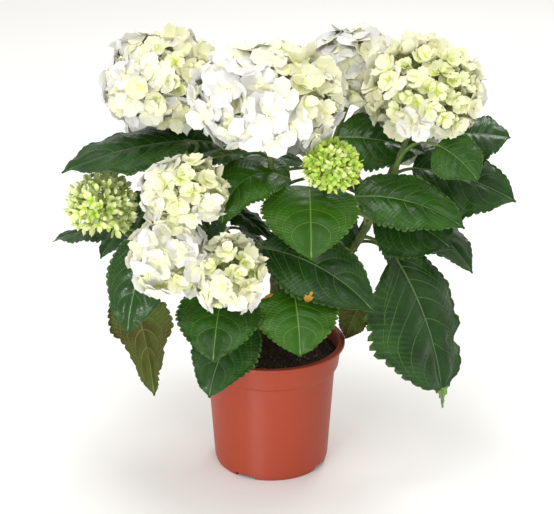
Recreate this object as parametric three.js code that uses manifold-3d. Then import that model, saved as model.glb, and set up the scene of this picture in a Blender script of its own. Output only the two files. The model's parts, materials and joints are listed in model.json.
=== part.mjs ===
// Hydrangea grown as a pot plant, together with its moulded plastic pot.
// Units are millimetres, +Z is up, and the viewer's side of the plant is -Y.
// The origin is the middle of the pot's underside, on the surface that the pot stands on.
// The plant is a short woody stool in the soil, bare canes that leave it, a leafy shoot on
// each cane, and a flower head or a bud cluster on each shoot.

import * as THREE from 'three';
import { mergeVertices } from 'three/addons/utils/BufferGeometryUtils.js';
import Module from 'manifold-3d';

const wasm = await Module();
wasm.setup();

// Clearance between neighbouring pieces
const GAP = 0.3;

// Pot, a thin-walled tapered moulding with a collar under its rim. Drops are measured from
// the top of the rim. The underside stands on a middle disc and an outer ring.
const POT = {
  height: 124,
  rimRadius: 70,
  lip: 4,
  lipSlope: 0.6,
  collarTop: 66.5,
  collarFoot: 63.5,
  collarDrop: 23,
  shoulder: 60.5,
  shoulderDrop: 28,
  baseRadius: 54.5,
  edge: 8,
  edgeStep: 1.6,
  edgeRise: 2.8,
  wall: 2.2,
  floor: 2,
  recess: 3,
  discRadius: 20,
  ringInner: 44,
  ringOuter: 49,
  sides: 28,
};
const NOTCH = { count: 4, first: -118, arc: 22, height: 3.6, inset: 2, overrun: 6 };
const DRAIN = { count: 8, radius: 4.5, ring: 32, sides: 7 };

// Soil, which fills the pot to a little below the rim. Its top is uneven except round the stool.
const SOIL = { top: 113, rings: [47, 31, 18, 0], calm: 19, chamfer: 2, spread: 1.6 };
const RIPPLE = { height: 1.6, alongX: 0.21, alongY: 0.17, sink: 0.4 };

// Woody stool, the short stem that all canes spring from: radius and height above the soil
const STOOL = [
  [0, 0],
  [14, 0],
  [11, 4.5],
  [11.5, 11],
  [14.5, 19],
  [14.5, 26],
  [11, 33],
  [5, 36.5],
  [0, 37],
];
const STOOL_SIDES = 16;
const STOOL_CROWN = 30;

// Stems: radius at the foot and the top, and the facets round and along them
const CANE = { foot: 3.7, top: 3.1, sides: 7, steps: 5 };
const SHOOT = { foot: 3.1, top: 2.5, sides: 6, steps: 6 };
const STALK = { foot: 2.6, top: 2.2, sides: 6, steps: 3 };
const RAY = { foot: 2.2, top: 1.8, sides: 5, steps: 1 };
const PETIOLE = { foot: 1.9, top: 1.5, sides: 4, steps: 2 };
const PETIOLE_SPRING = 0.55;
const PETIOLE_SEAT = 0.06;

// Blades. A blade is an oval with a drip tip, folded along its midrib and arched down.
const BLADE = {
  lengthwise: 5,
  across: 2,
  crowding: 0.09,
  thickness: 1.35,
  slimmest: 0.011,
  fold: 14,
  cup: 0.35,
  broadBase: 0.55,
  taper: 0.85,
  ovalEnd: 0.94,
  tipSlope: 0.7,
  neck: 1.3,
  ribSteps: 24,
};

// Flower heads: flowers dealt over a dome by the golden angle, standing out of a smaller core
const HEAD = { core: 0.8, face: 0.98, wrap: 1.72, goldenAngle: 2.399963 };
const FLOWER = { smallest: 0.88, spread: 0.24, sink: 0.12, hollow: 0.18 };

// Shoots. foot, bend and tip steer the stem's curve. bare is the share of it that is cane, and
// leafy the share where the leafy stem ends and the flower stalk starts. turn is the bearing of
// the lowest pair of leaves. heads are the flower heads: centre, radii, number and size of the
// flowers. A leaf gives its place on the stem, the foot of its blade, aim as bearing and rise,
// size as length and width, and its droop, sweep, roll and fold. Angles are in degrees.
const SHOOTS = [
  {
    name: 'upper_left',
    foot: [-6, 1, 134],
    bend: [-50, 6, 245],
    tip: [-94, 7, 352],
    bare: 0.42,
    leafy: 0.82,
    turn: 60,
    heads: [{ centre: [-98, 8, 376], radius: [55, 54, 45], florets: 24, petal: 15.5 }],
    leaves: [
      { at: 0.77, base: [-73, -12, 326], aim: [-164, 3], size: [120, 82], droop: 25, roll: -8 },
      { at: 0.66, base: [-82, -18, 293], aim: [-148, -12], size: [50, 54], droop: 40 },
      { at: 0.77, base: [-78, 16, 316], aim: [-10, 8], size: [66, 56], droop: 30, roll: 30 },
    ],
  },
  {
    name: 'upper_front',
    foot: [0, -6, 138],
    bend: [10, -28, 270],
    tip: [-4, -73, 352],
    bare: 0.5,
    leafy: 0.88,
    turn: 20,
    heads: [{ centre: [-3, -77, 385], radius: [66, 58, 49], florets: 26, petal: 16.5 }],
    leaves: [
      {
        at: 0.84,
        base: [-27, -40, 325],
        aim: [-161, -3],
        size: [94, 64],
        droop: 20,
        roll: 22,
        fold: 25,
      },
      {
        at: 0.76,
        base: [17, -58, 305],
        aim: [-175, 35],
        size: [92, 58],
        droop: 120,
        sweep: 55,
        roll: -20,
      },
    ],
  },
  {
    name: 'upper_back',
    foot: [5, 3, 138],
    bend: [42, 0, 280],
    tip: [76, 73, 345],
    bare: 0.45,
    leafy: 0.88,
    turn: 40,
    heads: [{ centre: [76, 76, 368], radius: [44, 44, 40], florets: 18, petal: 14.5 }],
    leaves: [
      { at: 0.74, base: [62, 28, 316], aim: [-7, 4], size: [82, 72], droop: 25, roll: 30 },
    ],
  },
  {
    name: 'upper_right',
    foot: [9, 0, 130],
    bend: [92, -14, 215],
    tip: [130, -6, 350],
    bare: 0.5,
    leafy: 0.88,
    turn: 10,
    heads: [{ centre: [136, -5, 370], radius: [54, 52, 46], florets: 24, petal: 15.5 }],
    leaves: [
      { at: 0.8, base: [148, -36, 330], aim: [-34, -14], size: [50, 52], droop: 35, roll: 30 },
      { at: 0.85, base: [168, 20, 322], aim: [-6, 5], size: [52, 52], droop: 15, roll: 25 },
      { at: 0.7, base: [130, 10, 292], aim: [-9, -1], size: [101, 78], droop: 30, roll: 30 },
      { at: 0.6, base: [75, -42, 283], aim: [-10, 9], size: [105, 64], droop: 45, roll: 32 },
      { at: 0.56, base: [95, -15, 262], aim: [-16, -9], size: [80, 88], droop: 30, roll: 30 },
      { at: 0.52, base: [114, -15, 215], aim: [-33, -51], size: [154, 102], droop: 35, roll: 10 },
    ],
  },
  {
    name: 'lower_left',
    foot: [-5, -7, 132],
    bend: [-50, -55, 215],
    tip: [-64, -92, 260],
    bare: 0.24,
    leafy: 0.86,
    turn: 0,
    heads: [
      { centre: [-74, -108, 311], radius: [38, 33, 31], florets: 11, petal: 13.5 },
      { centre: [-87, -112, 253], radius: [34, 31, 43], florets: 12, petal: 14 },
      { centre: [-37, -114, 237], radius: [32, 31, 36], florets: 11, petal: 13.5 },
    ],
    leaves: [
      { at: 0.6, base: [-104, -60, 252], aim: [-136, -53], size: [92, 62], droop: 30, roll: -30 },
      { at: 0.52, base: [-42, -62, 202], aim: [-99, -10], size: [77, 80], droop: 60 },
      { at: 0.29, base: [-26, -45, 166], aim: [-128, -27], size: [82, 76], droop: 50 },
      { at: 0.78, base: [-44, -66, 236], aim: [120, 84], size: [48, 36], droop: 10, roll: 30 },
    ],
  },
  {
    name: 'left_bud',
    foot: [-9, 0, 128],
    bend: [-92, -16, 200],
    tip: [-148, -28, 258],
    bare: 0.5,
    leafy: 0.86,
    turn: 30,
    heads: [{ centre: [-153, -30, 270], radius: [33, 33, 32], florets: 16, petal: 9.5 }],
    leaves: [
      { at: 0.72, base: [-130, -5, 238], aim: [168, 1], size: [79, 54], droop: 30 },
      { at: 0.66, base: [-131, -42, 200], aim: [38, -70], size: [126, 60], droop: 16, roll: -56 },
    ],
  },
  {
    name: 'front_bud',
    foot: [8, -8, 132],
    bend: [46, -30, 288],
    tip: [51, -90, 322],
    bare: 0.28,
    leafy: 0.86,
    turn: 15,
    heads: [{ centre: [53, -94, 330], radius: [26, 26, 25], florets: 15, petal: 7.5 }],
    leaves: [
      { at: 0.66, base: [34, -62, 300], aim: [-89, -1], size: [82, 88], droop: 70 },
      { at: 0.42, base: [-7, -62, 242], aim: [-13, -5], size: [118, 72], droop: 45, roll: 40 },
      { at: 0.33, base: [20, -64, 204], aim: [-80, -25], size: [66, 78], droop: 60 },
    ],
  },
  {
    name: 'back_left',
    foot: [-5, 8, 132],
    bend: [-66, 70, 200],
    tip: [-94, 98, 292],
    bare: 0.35,
    leafy: 0.86,
    turn: 75,
    heads: [{ centre: [-96, 100, 312], radius: [44, 44, 38], florets: 18, petal: 14.5 }],
    leaves: [],
  },
  {
    name: 'back_middle',
    foot: [2, 9, 134],
    bend: [12, 88, 200],
    tip: [14, 120, 284],
    bare: 0.35,
    leafy: 0.86,
    turn: 20,
    heads: [{ centre: [14, 122, 304], radius: [46, 44, 38], florets: 18, petal: 14.5 }],
    leaves: [],
  },
  {
    name: 'back_right',
    foot: [8, 6, 130],
    bend: [88, 60, 190],
    tip: [124, 92, 284],
    bare: 0.35,
    leafy: 0.86,
    turn: 50,
    heads: [{ centre: [126, 94, 304], radius: [42, 42, 37], florets: 18, petal: 13.5 }],
    leaves: [
      { at: 0.38, base: [88, 20, 156], aim: [-155, -53], size: [42, 36], droop: 20, roll: 150 },
    ],
  },
];

// Rule for the leaves that the shoots carry all round, in crossed pairs
const RULE = {
  seed: 2,
  pairs: 6,
  tries: 9,
  shrink: 0.95,
  firstPair: 0.03,
  lastPair: 0.03,
  jitter: 40,
  stalk: [24, 44],
  lift: [15, 50],
  flatten: 0.6,
  length: [84, 116],
  slender: [0.64, 0.74],
  topRise: 14,
  lowRise: -38,
  droop: [25, 60],
  roll: 16,
  frontLimit: -16,
  lowest: 92,
  reach: [196, 168],
  clear: 11.5,
  stemClear: 8,
  ownStemClear: 4.5,
  headClear: 9,
  potClear: 8,
  potHeadroom: 14,
  stemSpots: 16,
  stemFrom: 0.1,
  stalkSpots: [0.3, 0.45, 0.6, 0.75, 0.9],
  bladeSpots: [0.06, 0.22, 0.4, 0.58, 0.76, 0.94],
  sideSpots: [-0.9, -0.45, 0, 0.45, 0.9],
};

// Finishes seen on the plant and the pot
const FINISH = {
  pot: new THREE.MeshStandardMaterial({ color: 0xb4523c, roughness: 0.42, metalness: 0 }),
  soil: new THREE.MeshStandardMaterial({ color: 0x241a14, roughness: 0.95, metalness: 0 }),
  bark: new THREE.MeshStandardMaterial({ color: 0x6b553a, roughness: 0.85, metalness: 0 }),
  cane: new THREE.MeshStandardMaterial({ color: 0x5b6a3a, roughness: 0.6, metalness: 0 }),
  leaf: new THREE.MeshStandardMaterial({ color: 0x2f5b2c, roughness: 0.42, metalness: 0 }),
  bloom: new THREE.MeshStandardMaterial({ color: 0xf2f2e2, roughness: 0.7, metalness: 0 }),
  bud: new THREE.MeshStandardMaterial({ color: 0xb5cc6a, roughness: 0.7, metalness: 0 }),
};

const UP = new THREE.Vector3(0, 0, 1);
const AHEAD = new THREE.Vector3(0, 1, 0);
const STRAIGHT = 0.01;

// The rows above, with bearing, rise, length and width as values of their own
for (const shoot of SHOOTS) {
  shoot.leaves = shoot.leaves.map(({ aim: [heading, rise], size: [length, width], ...rest }) => ({
    heading,
    rise,
    length,
    width,
    ...rest,
  }));
}

const vec = (p) => new THREE.Vector3(...p);
const rad = THREE.MathUtils.degToRad;

// Repeatable random numbers from 0 to 1
function dice(seed) {
  let state = seed >>> 0;
  return () => {
    state = (state + 0x6d2b79f5) >>> 0;
    let t = state;
    t = Math.imul(t ^ (t >>> 15), t | 1);
    t ^= t + Math.imul(t ^ (t >>> 7), t | 61);
    return ((t ^ (t >>> 14)) >>> 0) / 4294967296;
  };
}

const between = (roll, [low, high]) => low + (high - low) * roll();

// Turns a closed geometry into a solid
function solid(geometry) {
  const bare = geometry.clone();
  bare.deleteAttribute('normal');
  bare.deleteAttribute('uv');
  const merged = mergeVertices(bare, 1e-4);
  const mesh = new wasm.Mesh({
    numProp: 3,
    vertProperties: new Float32Array(merged.attributes.position.array),
    triVerts: new Uint32Array(merged.index.array),
  });
  return new wasm.Manifold(mesh);
}

// Moves every vertex of a geometry by a rule
function reshape(geometry, rule) {
  const position = geometry.attributes.position;
  for (let i = 0; i < position.count; i += 1) {
    const p = rule(new THREE.Vector3().fromBufferAttribute(position, i));
    position.setXYZ(i, p.x, p.y, p.z);
  }
  return geometry;
}

const fuse = (solids) => solids.reduce((whole, piece) => whole.add(piece));

// Keeps the main body of a fused solid: loose scraps and sealed hollows are dropped
function mainBody(fused) {
  return fused.decompose().reduce((best, part) => (part.volume() > best.volume() ? part : best));
}

function toMesh(name, body, material) {
  const { numProp, vertProperties, triVerts } = body.getMesh();
  const geometry = new THREE.BufferGeometry();
  const points = [];
  for (let i = 0; i < vertProperties.length; i += numProp) {
    points.push(vertProperties[i], vertProperties[i + 1], vertProperties[i + 2]);
  }
  geometry.setAttribute('position', new THREE.Float32BufferAttribute(points, 3));
  geometry.setIndex(Array.from(triVerts));
  geometry.computeVertexNormals();
  const mesh = new THREE.Mesh(geometry, material);
  mesh.name = name;
  return mesh;
}

// A turned shape about the Z axis from [radius, height] pairs
function turned(profile, sides) {
  const geometry = new THREE.LatheGeometry(
    profile.map(([r, z]) => new THREE.Vector2(r, z)),
    sides,
  );
  return solid(geometry.rotateX(Math.PI / 2));
}

// A direction square to the plane of a bent curve, or to a straight one
function planeNormal(curve) {
  const start = curve.getTangent(0);
  const normal = new THREE.Vector3().crossVectors(start, curve.getTangent(1));
  if (normal.length() < STRAIGHT) normal.crossVectors(start, Math.abs(start.z) > 0.7 ? AHEAD : UP);
  return normal.normalize();
}

// A tapering stem along a curve: a cylinder whose rings are set across the curve
function stem(curve, from, to, size) {
  const side = planeNormal(curve);
  const rings = new THREE.CylinderGeometry(1, 1, 1, size.sides, size.steps);
  const frames = [];
  for (let k = 0; k <= size.steps; k += 1) {
    const t = from + ((to - from) * k) / size.steps;
    const up = new THREE.Vector3().crossVectors(curve.getTangent(t), side);
    frames.push({ centre: curve.getPoint(t), up });
  }
  reshape(rings, (p) => {
    const share = p.y + 0.5;
    const { centre, up } = frames[Math.round(share * size.steps)];
    const radius = size.foot + (size.top - size.foot) * share;
    return centre
      .clone()
      .addScaledVector(side, p.x * radius)
      .addScaledVector(up, p.z * -radius);
  });
  return solid(rings);
}

// Half the width of a blade at share s of its length, 1 at its widest
function bladeWidth(s) {
  const { broadBase: a, taper: b, ovalEnd, tipSlope } = BLADE;
  const top = (a / (a + b)) ** a * (b / (a + b)) ** b;
  const x = Math.min(s / ovalEnd, 1);
  const oval = (x ** a * (1 - x) ** b) / top;
  return s > 0.5 ? Math.max(oval, tipSlope * (1 - s)) : oval;
}

// Directions along, across and out of a blade at share s of its length
function bladeFrame(leaf, s) {
  const yaw = rad(leaf.heading + (leaf.sweep ?? 0) * s);
  const pitch = rad(leaf.rise - leaf.droop * s);
  const along = new THREE.Vector3(
    Math.cos(yaw) * Math.cos(pitch),
    Math.sin(yaw) * Math.cos(pitch),
    Math.sin(pitch),
  );
  const side = new THREE.Vector3(-Math.sin(yaw), Math.cos(yaw), 0);
  side.applyAxisAngle(along, rad(leaf.roll ?? 0));
  const up = new THREE.Vector3().crossVectors(along, side);
  return { along, side, up };
}

// Points down the midrib, from the blade's foot to its tip
function midrib(leaf) {
  const points = [vec(leaf.base)];
  for (let k = 0; k < BLADE.ribSteps; k += 1) {
    const { along } = bladeFrame(leaf, (k + 0.5) / BLADE.ribSteps);
    points.push(points[k].clone().addScaledVector(along, leaf.length / BLADE.ribSteps));
  }
  return points;
}

// A point of the blade's middle surface: s along it, v across it from -1 to 1
function bladePoint(leaf, rib, s, v) {
  const place = s * BLADE.ribSteps;
  const step = Math.min(Math.floor(place), BLADE.ribSteps - 1);
  const { side, up } = bladeFrame(leaf, s);
  const half = Math.max(bladeWidth(s) * (leaf.width / 2), BLADE.neck);
  const out = Math.abs(v) * half;
  const fold = rad(leaf.fold ?? BLADE.fold);
  const lift = out * Math.tan(fold) - (BLADE.cup * out * out) / (leaf.width / 2);
  return rib[step]
    .clone()
    .lerp(rib[step + 1], place - step)
    .addScaledVector(side, v * half * Math.cos(fold))
    .addScaledVector(up, lift);
}

// A blade: a flat box bent to the blade's surface
function blade(leaf) {
  const rib = midrib(leaf);
  const thickness = Math.max(BLADE.thickness, leaf.length * BLADE.slimmest);
  const box = new THREE.BoxGeometry(1, 1, 1, BLADE.lengthwise, BLADE.across, 1);
  reshape(box, (p) => {
    const t = p.x + 0.5;
    const s = t - BLADE.crowding * Math.sin(2 * Math.PI * t);
    const { up } = bladeFrame(leaf, s);
    return bladePoint(leaf, rib, s, 2 * p.y).addScaledVector(up, p.z * thickness);
  });
  return solid(box);
}

// The stalk of a leaf, from the middle of the stem to just inside the blade
function petioleCurve(stemCurve, leaf) {
  const foot = stemCurve.getPoint(leaf.at);
  const rib = midrib(leaf);
  const { along } = bladeFrame(leaf, 0);
  const reach = rib[0].distanceTo(foot) * PETIOLE_SPRING;
  const bend = rib[0].clone().addScaledVector(along, -reach);
  const end = bladePoint(leaf, rib, PETIOLE_SEAT, 0);
  return new THREE.QuadraticBezierCurve3(foot, bend, end);
}

const petiole = (stemCurve, leaf) => stem(petioleCurve(stemCurve, leaf), 0, 1, PETIOLE);

// One flower: a shallow cup of four sepals whose point is sunk in the head
function floret(centre, outward, spin, petal) {
  const cup = new THREE.ConeGeometry(1, 1, 4, 1);
  const turnTo = new THREE.Quaternion().setFromUnitVectors(AHEAD, outward);
  const about = new THREE.Quaternion().setFromAxisAngle(AHEAD, spin);
  reshape(cup, (p) => {
    const radius = Math.hypot(p.x, p.z);
    if (radius < 0.5) {
      const deep = p.y > 0 ? -petal : -FLOWER.hollow * petal;
      return new THREE.Vector3(0, deep, 0).applyQuaternion(turnTo).add(centre);
    }
    return new THREE.Vector3((-p.x / radius) * petal, 0, (p.z / radius) * petal)
      .applyQuaternion(about)
      .applyQuaternion(turnTo)
      .add(centre);
  });
  return solid(cup);
}

// One flower head or bud cluster
function flowerHead(head, seed) {
  const roll = dice(seed);
  const centre = vec(head.centre);
  const radius = vec(head.radius);
  const core = reshape(new THREE.IcosahedronGeometry(1, 1), (p) =>
    p.multiply(radius).multiplyScalar(HEAD.core).add(centre),
  );
  const pieces = [solid(core)];
  for (let k = 0; k < head.florets; k += 1) {
    const z = 1 - (HEAD.wrap * (k + 0.5)) / head.florets;
    const angle = HEAD.goldenAngle * k;
    const flat = Math.sqrt(1 - z * z);
    const place = new THREE.Vector3(flat * Math.cos(angle), flat * Math.sin(angle), z);
    const outward = place.clone().divide(radius).normalize();
    const petal = head.petal * (FLOWER.smallest + FLOWER.spread * roll());
    const seat = place.multiply(radius).multiplyScalar(HEAD.face).add(centre);
    seat.addScaledVector(outward, -FLOWER.sink * petal);
    pieces.push(floret(seat, outward, roll() * Math.PI, petal));
  }
  return fuse(pieces);
}

// Pot
function buildPot() {
  const { height, rimRadius, lip, wall, recess, floor, edge } = POT;
  const collarFoot = height - POT.collarDrop;
  const shoulder = height - POT.shoulderDrop;
  const profile = [
    [0, 0],
    [POT.discRadius, 0],
    [POT.discRadius + 1, recess],
    [POT.ringInner, recess],
    [POT.ringInner + 1, 0],
    [POT.ringOuter, 0],
    [POT.baseRadius - POT.edgeStep, POT.edgeRise],
    [POT.baseRadius, edge],
    [POT.shoulder, shoulder],
    [POT.collarFoot, collarFoot],
    [POT.collarTop, height - lip],
    [rimRadius, height - lip + POT.lipSlope],
    [rimRadius, height],
    [POT.collarTop - wall, height],
    [POT.collarFoot - wall, collarFoot],
    [POT.shoulder - wall, shoulder - 1],
    [POT.baseRadius - wall, edge + 1],
    [POT.ringOuter - 1, recess + floor],
    [0, recess + floor],
  ];
  let body = turned(profile, POT.sides);
  for (let k = 0; k < NOTCH.count; k += 1) {
    body = body.subtract(notch(NOTCH.first + (k * 360) / NOTCH.count));
  }
  for (let k = 0; k < DRAIN.count; k += 1) {
    const angle = rad(((k + 0.5) * 360) / DRAIN.count);
    const hole = new THREE.CylinderGeometry(DRAIN.radius, DRAIN.radius, 4 * recess, DRAIN.sides);
    hole.rotateX(Math.PI / 2).translate(DRAIN.ring * Math.cos(angle), DRAIN.ring * Math.sin(angle), 0);
    body = body.subtract(solid(hole));
  }
  return mainBody(body);
}

// A gap in the foot ring that lets water out from under the pot
function notch(degrees) {
  const deep = POT.baseRadius - POT.ringInner + NOTCH.overrun;
  const wide = 2 * POT.ringOuter * Math.tan(rad(NOTCH.arc / 2));
  const block = new THREE.BoxGeometry(deep, wide, 2 * NOTCH.height);
  block.translate(POT.ringInner - NOTCH.inset + deep / 2, 0, 0);
  return solid(block.rotateZ(rad(degrees)));
}

// Soil
function buildSoil() {
  const bottom = POT.recess + POT.floor + GAP;
  const shoulder = POT.height - POT.shoulderDrop;
  const collarFoot = POT.height - POT.collarDrop;
  const inner = POT.wall + 2 * GAP;
  const topRadius = POT.collarFoot - inner + SOIL.spread;
  const profile = [
    [0, bottom],
    [POT.ringOuter - 1 - GAP, bottom],
    [POT.baseRadius - inner, POT.edge + 1],
    [POT.shoulder - inner, shoulder - 1],
    [POT.collarFoot - inner, collarFoot],
    [topRadius, SOIL.top - SOIL.chamfer],
    [topRadius - SOIL.chamfer, SOIL.top],
    ...SOIL.rings.map((r) => [r, SOIL.top]),
  ];
  const points = profile.map(([r, z]) => new THREE.Vector2(r, z));
  const lathe = new THREE.LatheGeometry(points, POT.sides).rotateX(Math.PI / 2);
  reshape(lathe, (p) => {
    if (p.z < SOIL.top - GAP || Math.hypot(p.x, p.y) < SOIL.calm) return p;
    const wave = Math.sin(p.x * RIPPLE.alongX + 1) * Math.cos(p.y * RIPPLE.alongY);
    p.z += RIPPLE.height * (wave - RIPPLE.sink);
    return p;
  });
  return solid(lathe);
}

// The stool, or with extra the room that the canes leave round it
function buildStool(extra = 0) {
  const foot = SOIL.top + GAP;
  const profile = STOOL.map(([r, z]) => {
    const rise = z > STOOL_CROWN ? extra : 0;
    return [r === 0 ? 0 : r + extra, foot + z + rise];
  });
  return turned(profile, STOOL_SIDES);
}

function shootCurve({ foot, bend, tip }) {
  return new THREE.QuadraticBezierCurve3(vec(foot), vec(bend), vec(tip));
}

// Points spread over a blade and along the outer part of its stalk, used to keep leaves apart
function leafSpots(curve, leaf) {
  const rib = midrib(leaf);
  const stalk = petioleCurve(curve, leaf);
  const spots = RULE.stalkSpots.map((share) => stalk.getPoint(share));
  for (const s of RULE.bladeSpots) {
    for (const v of RULE.sideSpots) {
      spots.push(bladePoint(leaf, rib, s, v));
    }
  }
  return spots;
}

// Points along a whole shoot, from where it has left the stool
function stemSpots(curve) {
  const { stemSpots: count, stemFrom: from } = RULE;
  return Array.from({ length: count + 1 }, (_, k) => curve.getPoint(from + ((1 - from) * k) / count));
}

const inHead = (head, p, margin) => {
  const c = vec(head.centre);
  const r = vec(head.radius).addScalar(margin);
  return p.clone().sub(c).divide(r).length() < 1;
};

// Leaves in crossed pairs on every shoot: one that would touch another blade, a stem or a head,
// come out on the viewer's side, or leave the crown's space is skipped
function growLeaves() {
  const heads = SHOOTS.flatMap((shoot) => shoot.heads);
  const taken = [];
  for (const shoot of SHOOTS) {
    const curve = shootCurve(shoot);
    for (const leaf of shoot.leaves) {
      taken.push({ spots: leafSpots(curve, leaf), room: RULE.clear });
    }
    taken.push({ spots: stemSpots(curve), room: RULE.stemClear, owner: shoot });
  }
  const grown = new Map(SHOOTS.map((shoot) => [shoot, []]));
  for (let pair = RULE.pairs - 1; pair >= 0; pair -= 1) {
    SHOOTS.forEach((shoot, order) => {
      for (let side = 0; side < 2; side += 1) {
        const roll = dice(RULE.seed + 100 * order + 10 * pair + side);
        const leaf = tryLeaf(shoot, pair, side, roll, taken, heads);
        if (leaf) {
          grown.get(shoot).push(leaf);
          taken.push({ spots: leafSpots(shootCurve(shoot), leaf), room: RULE.clear });
        }
      }
    });
  }
  return grown;
}

// The first of a few leaves tried at one side of a pair that fits, or nothing
function tryLeaf(shoot, pair, side, roll, taken, heads) {
  const curve = shootCurve(shoot);
  const height = pair / (RULE.pairs - 1);
  const first = shoot.bare + RULE.firstPair;
  const at = first + (shoot.leafy - RULE.lastPair - first) * height;
  for (let attempt = 0; attempt < RULE.tries; attempt += 1) {
    const heading = shoot.turn + 90 * pair + 180 * side + RULE.jitter * (2 * roll() - 1);
    const stalk = between(roll, RULE.stalk);
    const lift = rad(between(roll, RULE.lift) * (1 - RULE.flatten * height));
    const length = between(roll, RULE.length) * RULE.shrink ** attempt;
    const width = length * between(roll, RULE.slender);
    const rise = RULE.lowRise + (RULE.topRise - RULE.lowRise) * height;
    const droop = between(roll, RULE.droop);
    const tilt = RULE.roll * (2 * roll() - 1);
    const away = new THREE.Vector3(
      Math.cos(rad(heading)) * Math.cos(lift),
      Math.sin(rad(heading)) * Math.cos(lift),
      Math.sin(lift),
    );
    const base = curve.getPoint(at).addScaledVector(away, stalk).toArray();
    const leaf = { at, base, heading, rise, length, width, droop, roll: tilt };
    if (fits(leafSpots(curve, leaf), shoot, taken, heads)) return leaf;
  }
  return null;
}

function fits(spots, shoot, taken, heads) {
  const [across, deep] = RULE.reach;
  return spots.every((p) => {
    if (p.y < RULE.frontLimit || p.z < RULE.lowest) return false;
    if ((p.x / across) ** 2 + (p.y / deep) ** 2 > 1) return false;
    if (p.z < POT.height + RULE.potHeadroom && Math.hypot(p.x, p.y) < POT.rimRadius + RULE.potClear) {
      return false;
    }
    if (heads.some((head) => inHead(head, p, RULE.headClear))) return false;
    return taken.every((other) => {
      const room = other.owner === shoot ? RULE.ownStemClear : other.room;
      return other.spots.every((q) => q.distanceTo(p) > room);
    });
  });
}

// Assembly
const plant = new THREE.Group();
plant.name = 'hydrangea_in_pot';
plant.add(toMesh('pot', buildPot(), FINISH.pot));
plant.add(toMesh('soil', buildSoil(), FINISH.soil));
plant.add(toMesh('main_stem', buildStool(), FINISH.bark));

const stoolRoom = buildStool(GAP);
const grown = growLeaves();
SHOOTS.forEach((shoot, index) => {
  const curve = shootCurve(shoot);
  const length = curve.getLength();
  const gap = GAP / length;
  const cane = stem(curve, 0, shoot.bare, CANE).subtract(stoolRoom);
  plant.add(toMesh(`cane_${shoot.name}`, mainBody(cane), FINISH.cane));

  const leaves = [...shoot.leaves, ...grown.get(shoot)];
  const leafy = [stem(curve, shoot.bare + gap, shoot.leafy, SHOOT)];
  for (const leaf of leaves) leafy.push(petiole(curve, leaf), blade(leaf));
  plant.add(toMesh(`foliage_${shoot.name}`, mainBody(fuse(leafy)), FINISH.leaf));

  const stalk = stem(curve, shoot.leafy + gap, 1, STALK);
  const heads = shoot.heads.flatMap((head, k) => [
    stem(new THREE.LineCurve3(vec(shoot.tip), vec(head.centre)), 0, 1, RAY),
    flowerHead(head, 100 * (index + 1) + k),
  ]);
  const finish = shoot.name.endsWith('bud') ? FINISH.bud : FINISH.bloom;
  plant.add(toMesh(`bloom_${shoot.name}`, mainBody(fuse([stalk, ...heads])), finish));
});

export default plant;
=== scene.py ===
"""Hydrangea grown as a pot plant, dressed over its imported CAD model.

The plant is grown here by the same named sizes and the same seeded rule as the solids, carried on to
finer forms: toothed and quilted leaf blades with raised veins, channelled leaf stalks, canes with bark,
and flower heads of separate four-sepalled florets on their own stalks. The pot and the soil are made
again with rounded edges, drainage gaps and crumbs. Sizes are in millimetres and angles in degrees until
a mesh is made, +Z is up, and the viewer stands on the -Y side.
"""

import json
import logging
import math
from collections.abc import Callable, Sequence
from dataclasses import dataclass, field
from enum import Enum
from functools import cached_property

import bpy
import numpy as np
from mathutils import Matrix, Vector, noise

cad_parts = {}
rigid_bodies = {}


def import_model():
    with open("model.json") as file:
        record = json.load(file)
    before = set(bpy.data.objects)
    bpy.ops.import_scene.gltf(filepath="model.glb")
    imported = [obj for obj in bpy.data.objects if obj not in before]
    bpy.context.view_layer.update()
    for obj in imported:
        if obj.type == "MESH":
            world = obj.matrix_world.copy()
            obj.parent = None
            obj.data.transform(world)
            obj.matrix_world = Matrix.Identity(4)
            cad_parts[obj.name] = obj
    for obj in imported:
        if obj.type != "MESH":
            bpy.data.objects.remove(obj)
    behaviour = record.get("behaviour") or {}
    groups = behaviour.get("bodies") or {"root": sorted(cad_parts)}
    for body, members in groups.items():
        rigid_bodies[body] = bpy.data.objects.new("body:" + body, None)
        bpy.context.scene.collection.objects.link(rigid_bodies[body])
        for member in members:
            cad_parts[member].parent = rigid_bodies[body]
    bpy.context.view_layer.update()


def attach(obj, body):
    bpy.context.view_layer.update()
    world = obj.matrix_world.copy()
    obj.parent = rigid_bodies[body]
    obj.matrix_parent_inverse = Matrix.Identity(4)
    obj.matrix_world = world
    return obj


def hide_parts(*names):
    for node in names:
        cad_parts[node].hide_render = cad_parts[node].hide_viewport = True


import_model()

LOG = logging.getLogger("hydrangea")
MM = 0.001
BODY = "root"
GUIDE = "blade"
GOLDEN_ANGLE = 2.399963
# The fourth corner of a face that has three.
TRIANGLE = -1
# Random states are words of 32 bits.
WORD = 0xFFFFFFFF
# Noise seldom leaves this span.
NOISE_SPAN = (0.3, 0.7)
NOISE_DETAIL = 4.0
# Phase of a wave texture for each unit of its scale.
WAVE_PHASE = 20

Point = tuple[float, float, float]
Span = tuple[float, float]
Radius = Callable[[np.ndarray, np.ndarray], np.ndarray]
# Points, the room that they need round them, and the stem that they belong to.
Taken = tuple[np.ndarray, float, str]
Inputs = dict[str | int, object]
Tree = bpy.types.NodeTree
Node = bpy.types.Node
Socket = bpy.types.NodeSocket
Material = bpy.types.Material
Piece = bpy.types.Object


# Colour and node helpers


def linear(hex_colour: str) -> tuple[float, float, float, float]:
    """Turns an sRGB hex colour into linear RGBA.

    Args:
        hex_colour: A colour such as "#2f5b2c".

    Returns:
        Red, green, blue and alpha for a shader socket.
    """
    channels = [int(hex_colour[k:k + 2], 16) / 255 for k in (1, 3, 5)]
    flat = [c / 12.92 if c <= 0.04045 else ((c + 0.055) / 1.055) ** 2.4 for c in channels]
    return (*flat, 1.0)


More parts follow.
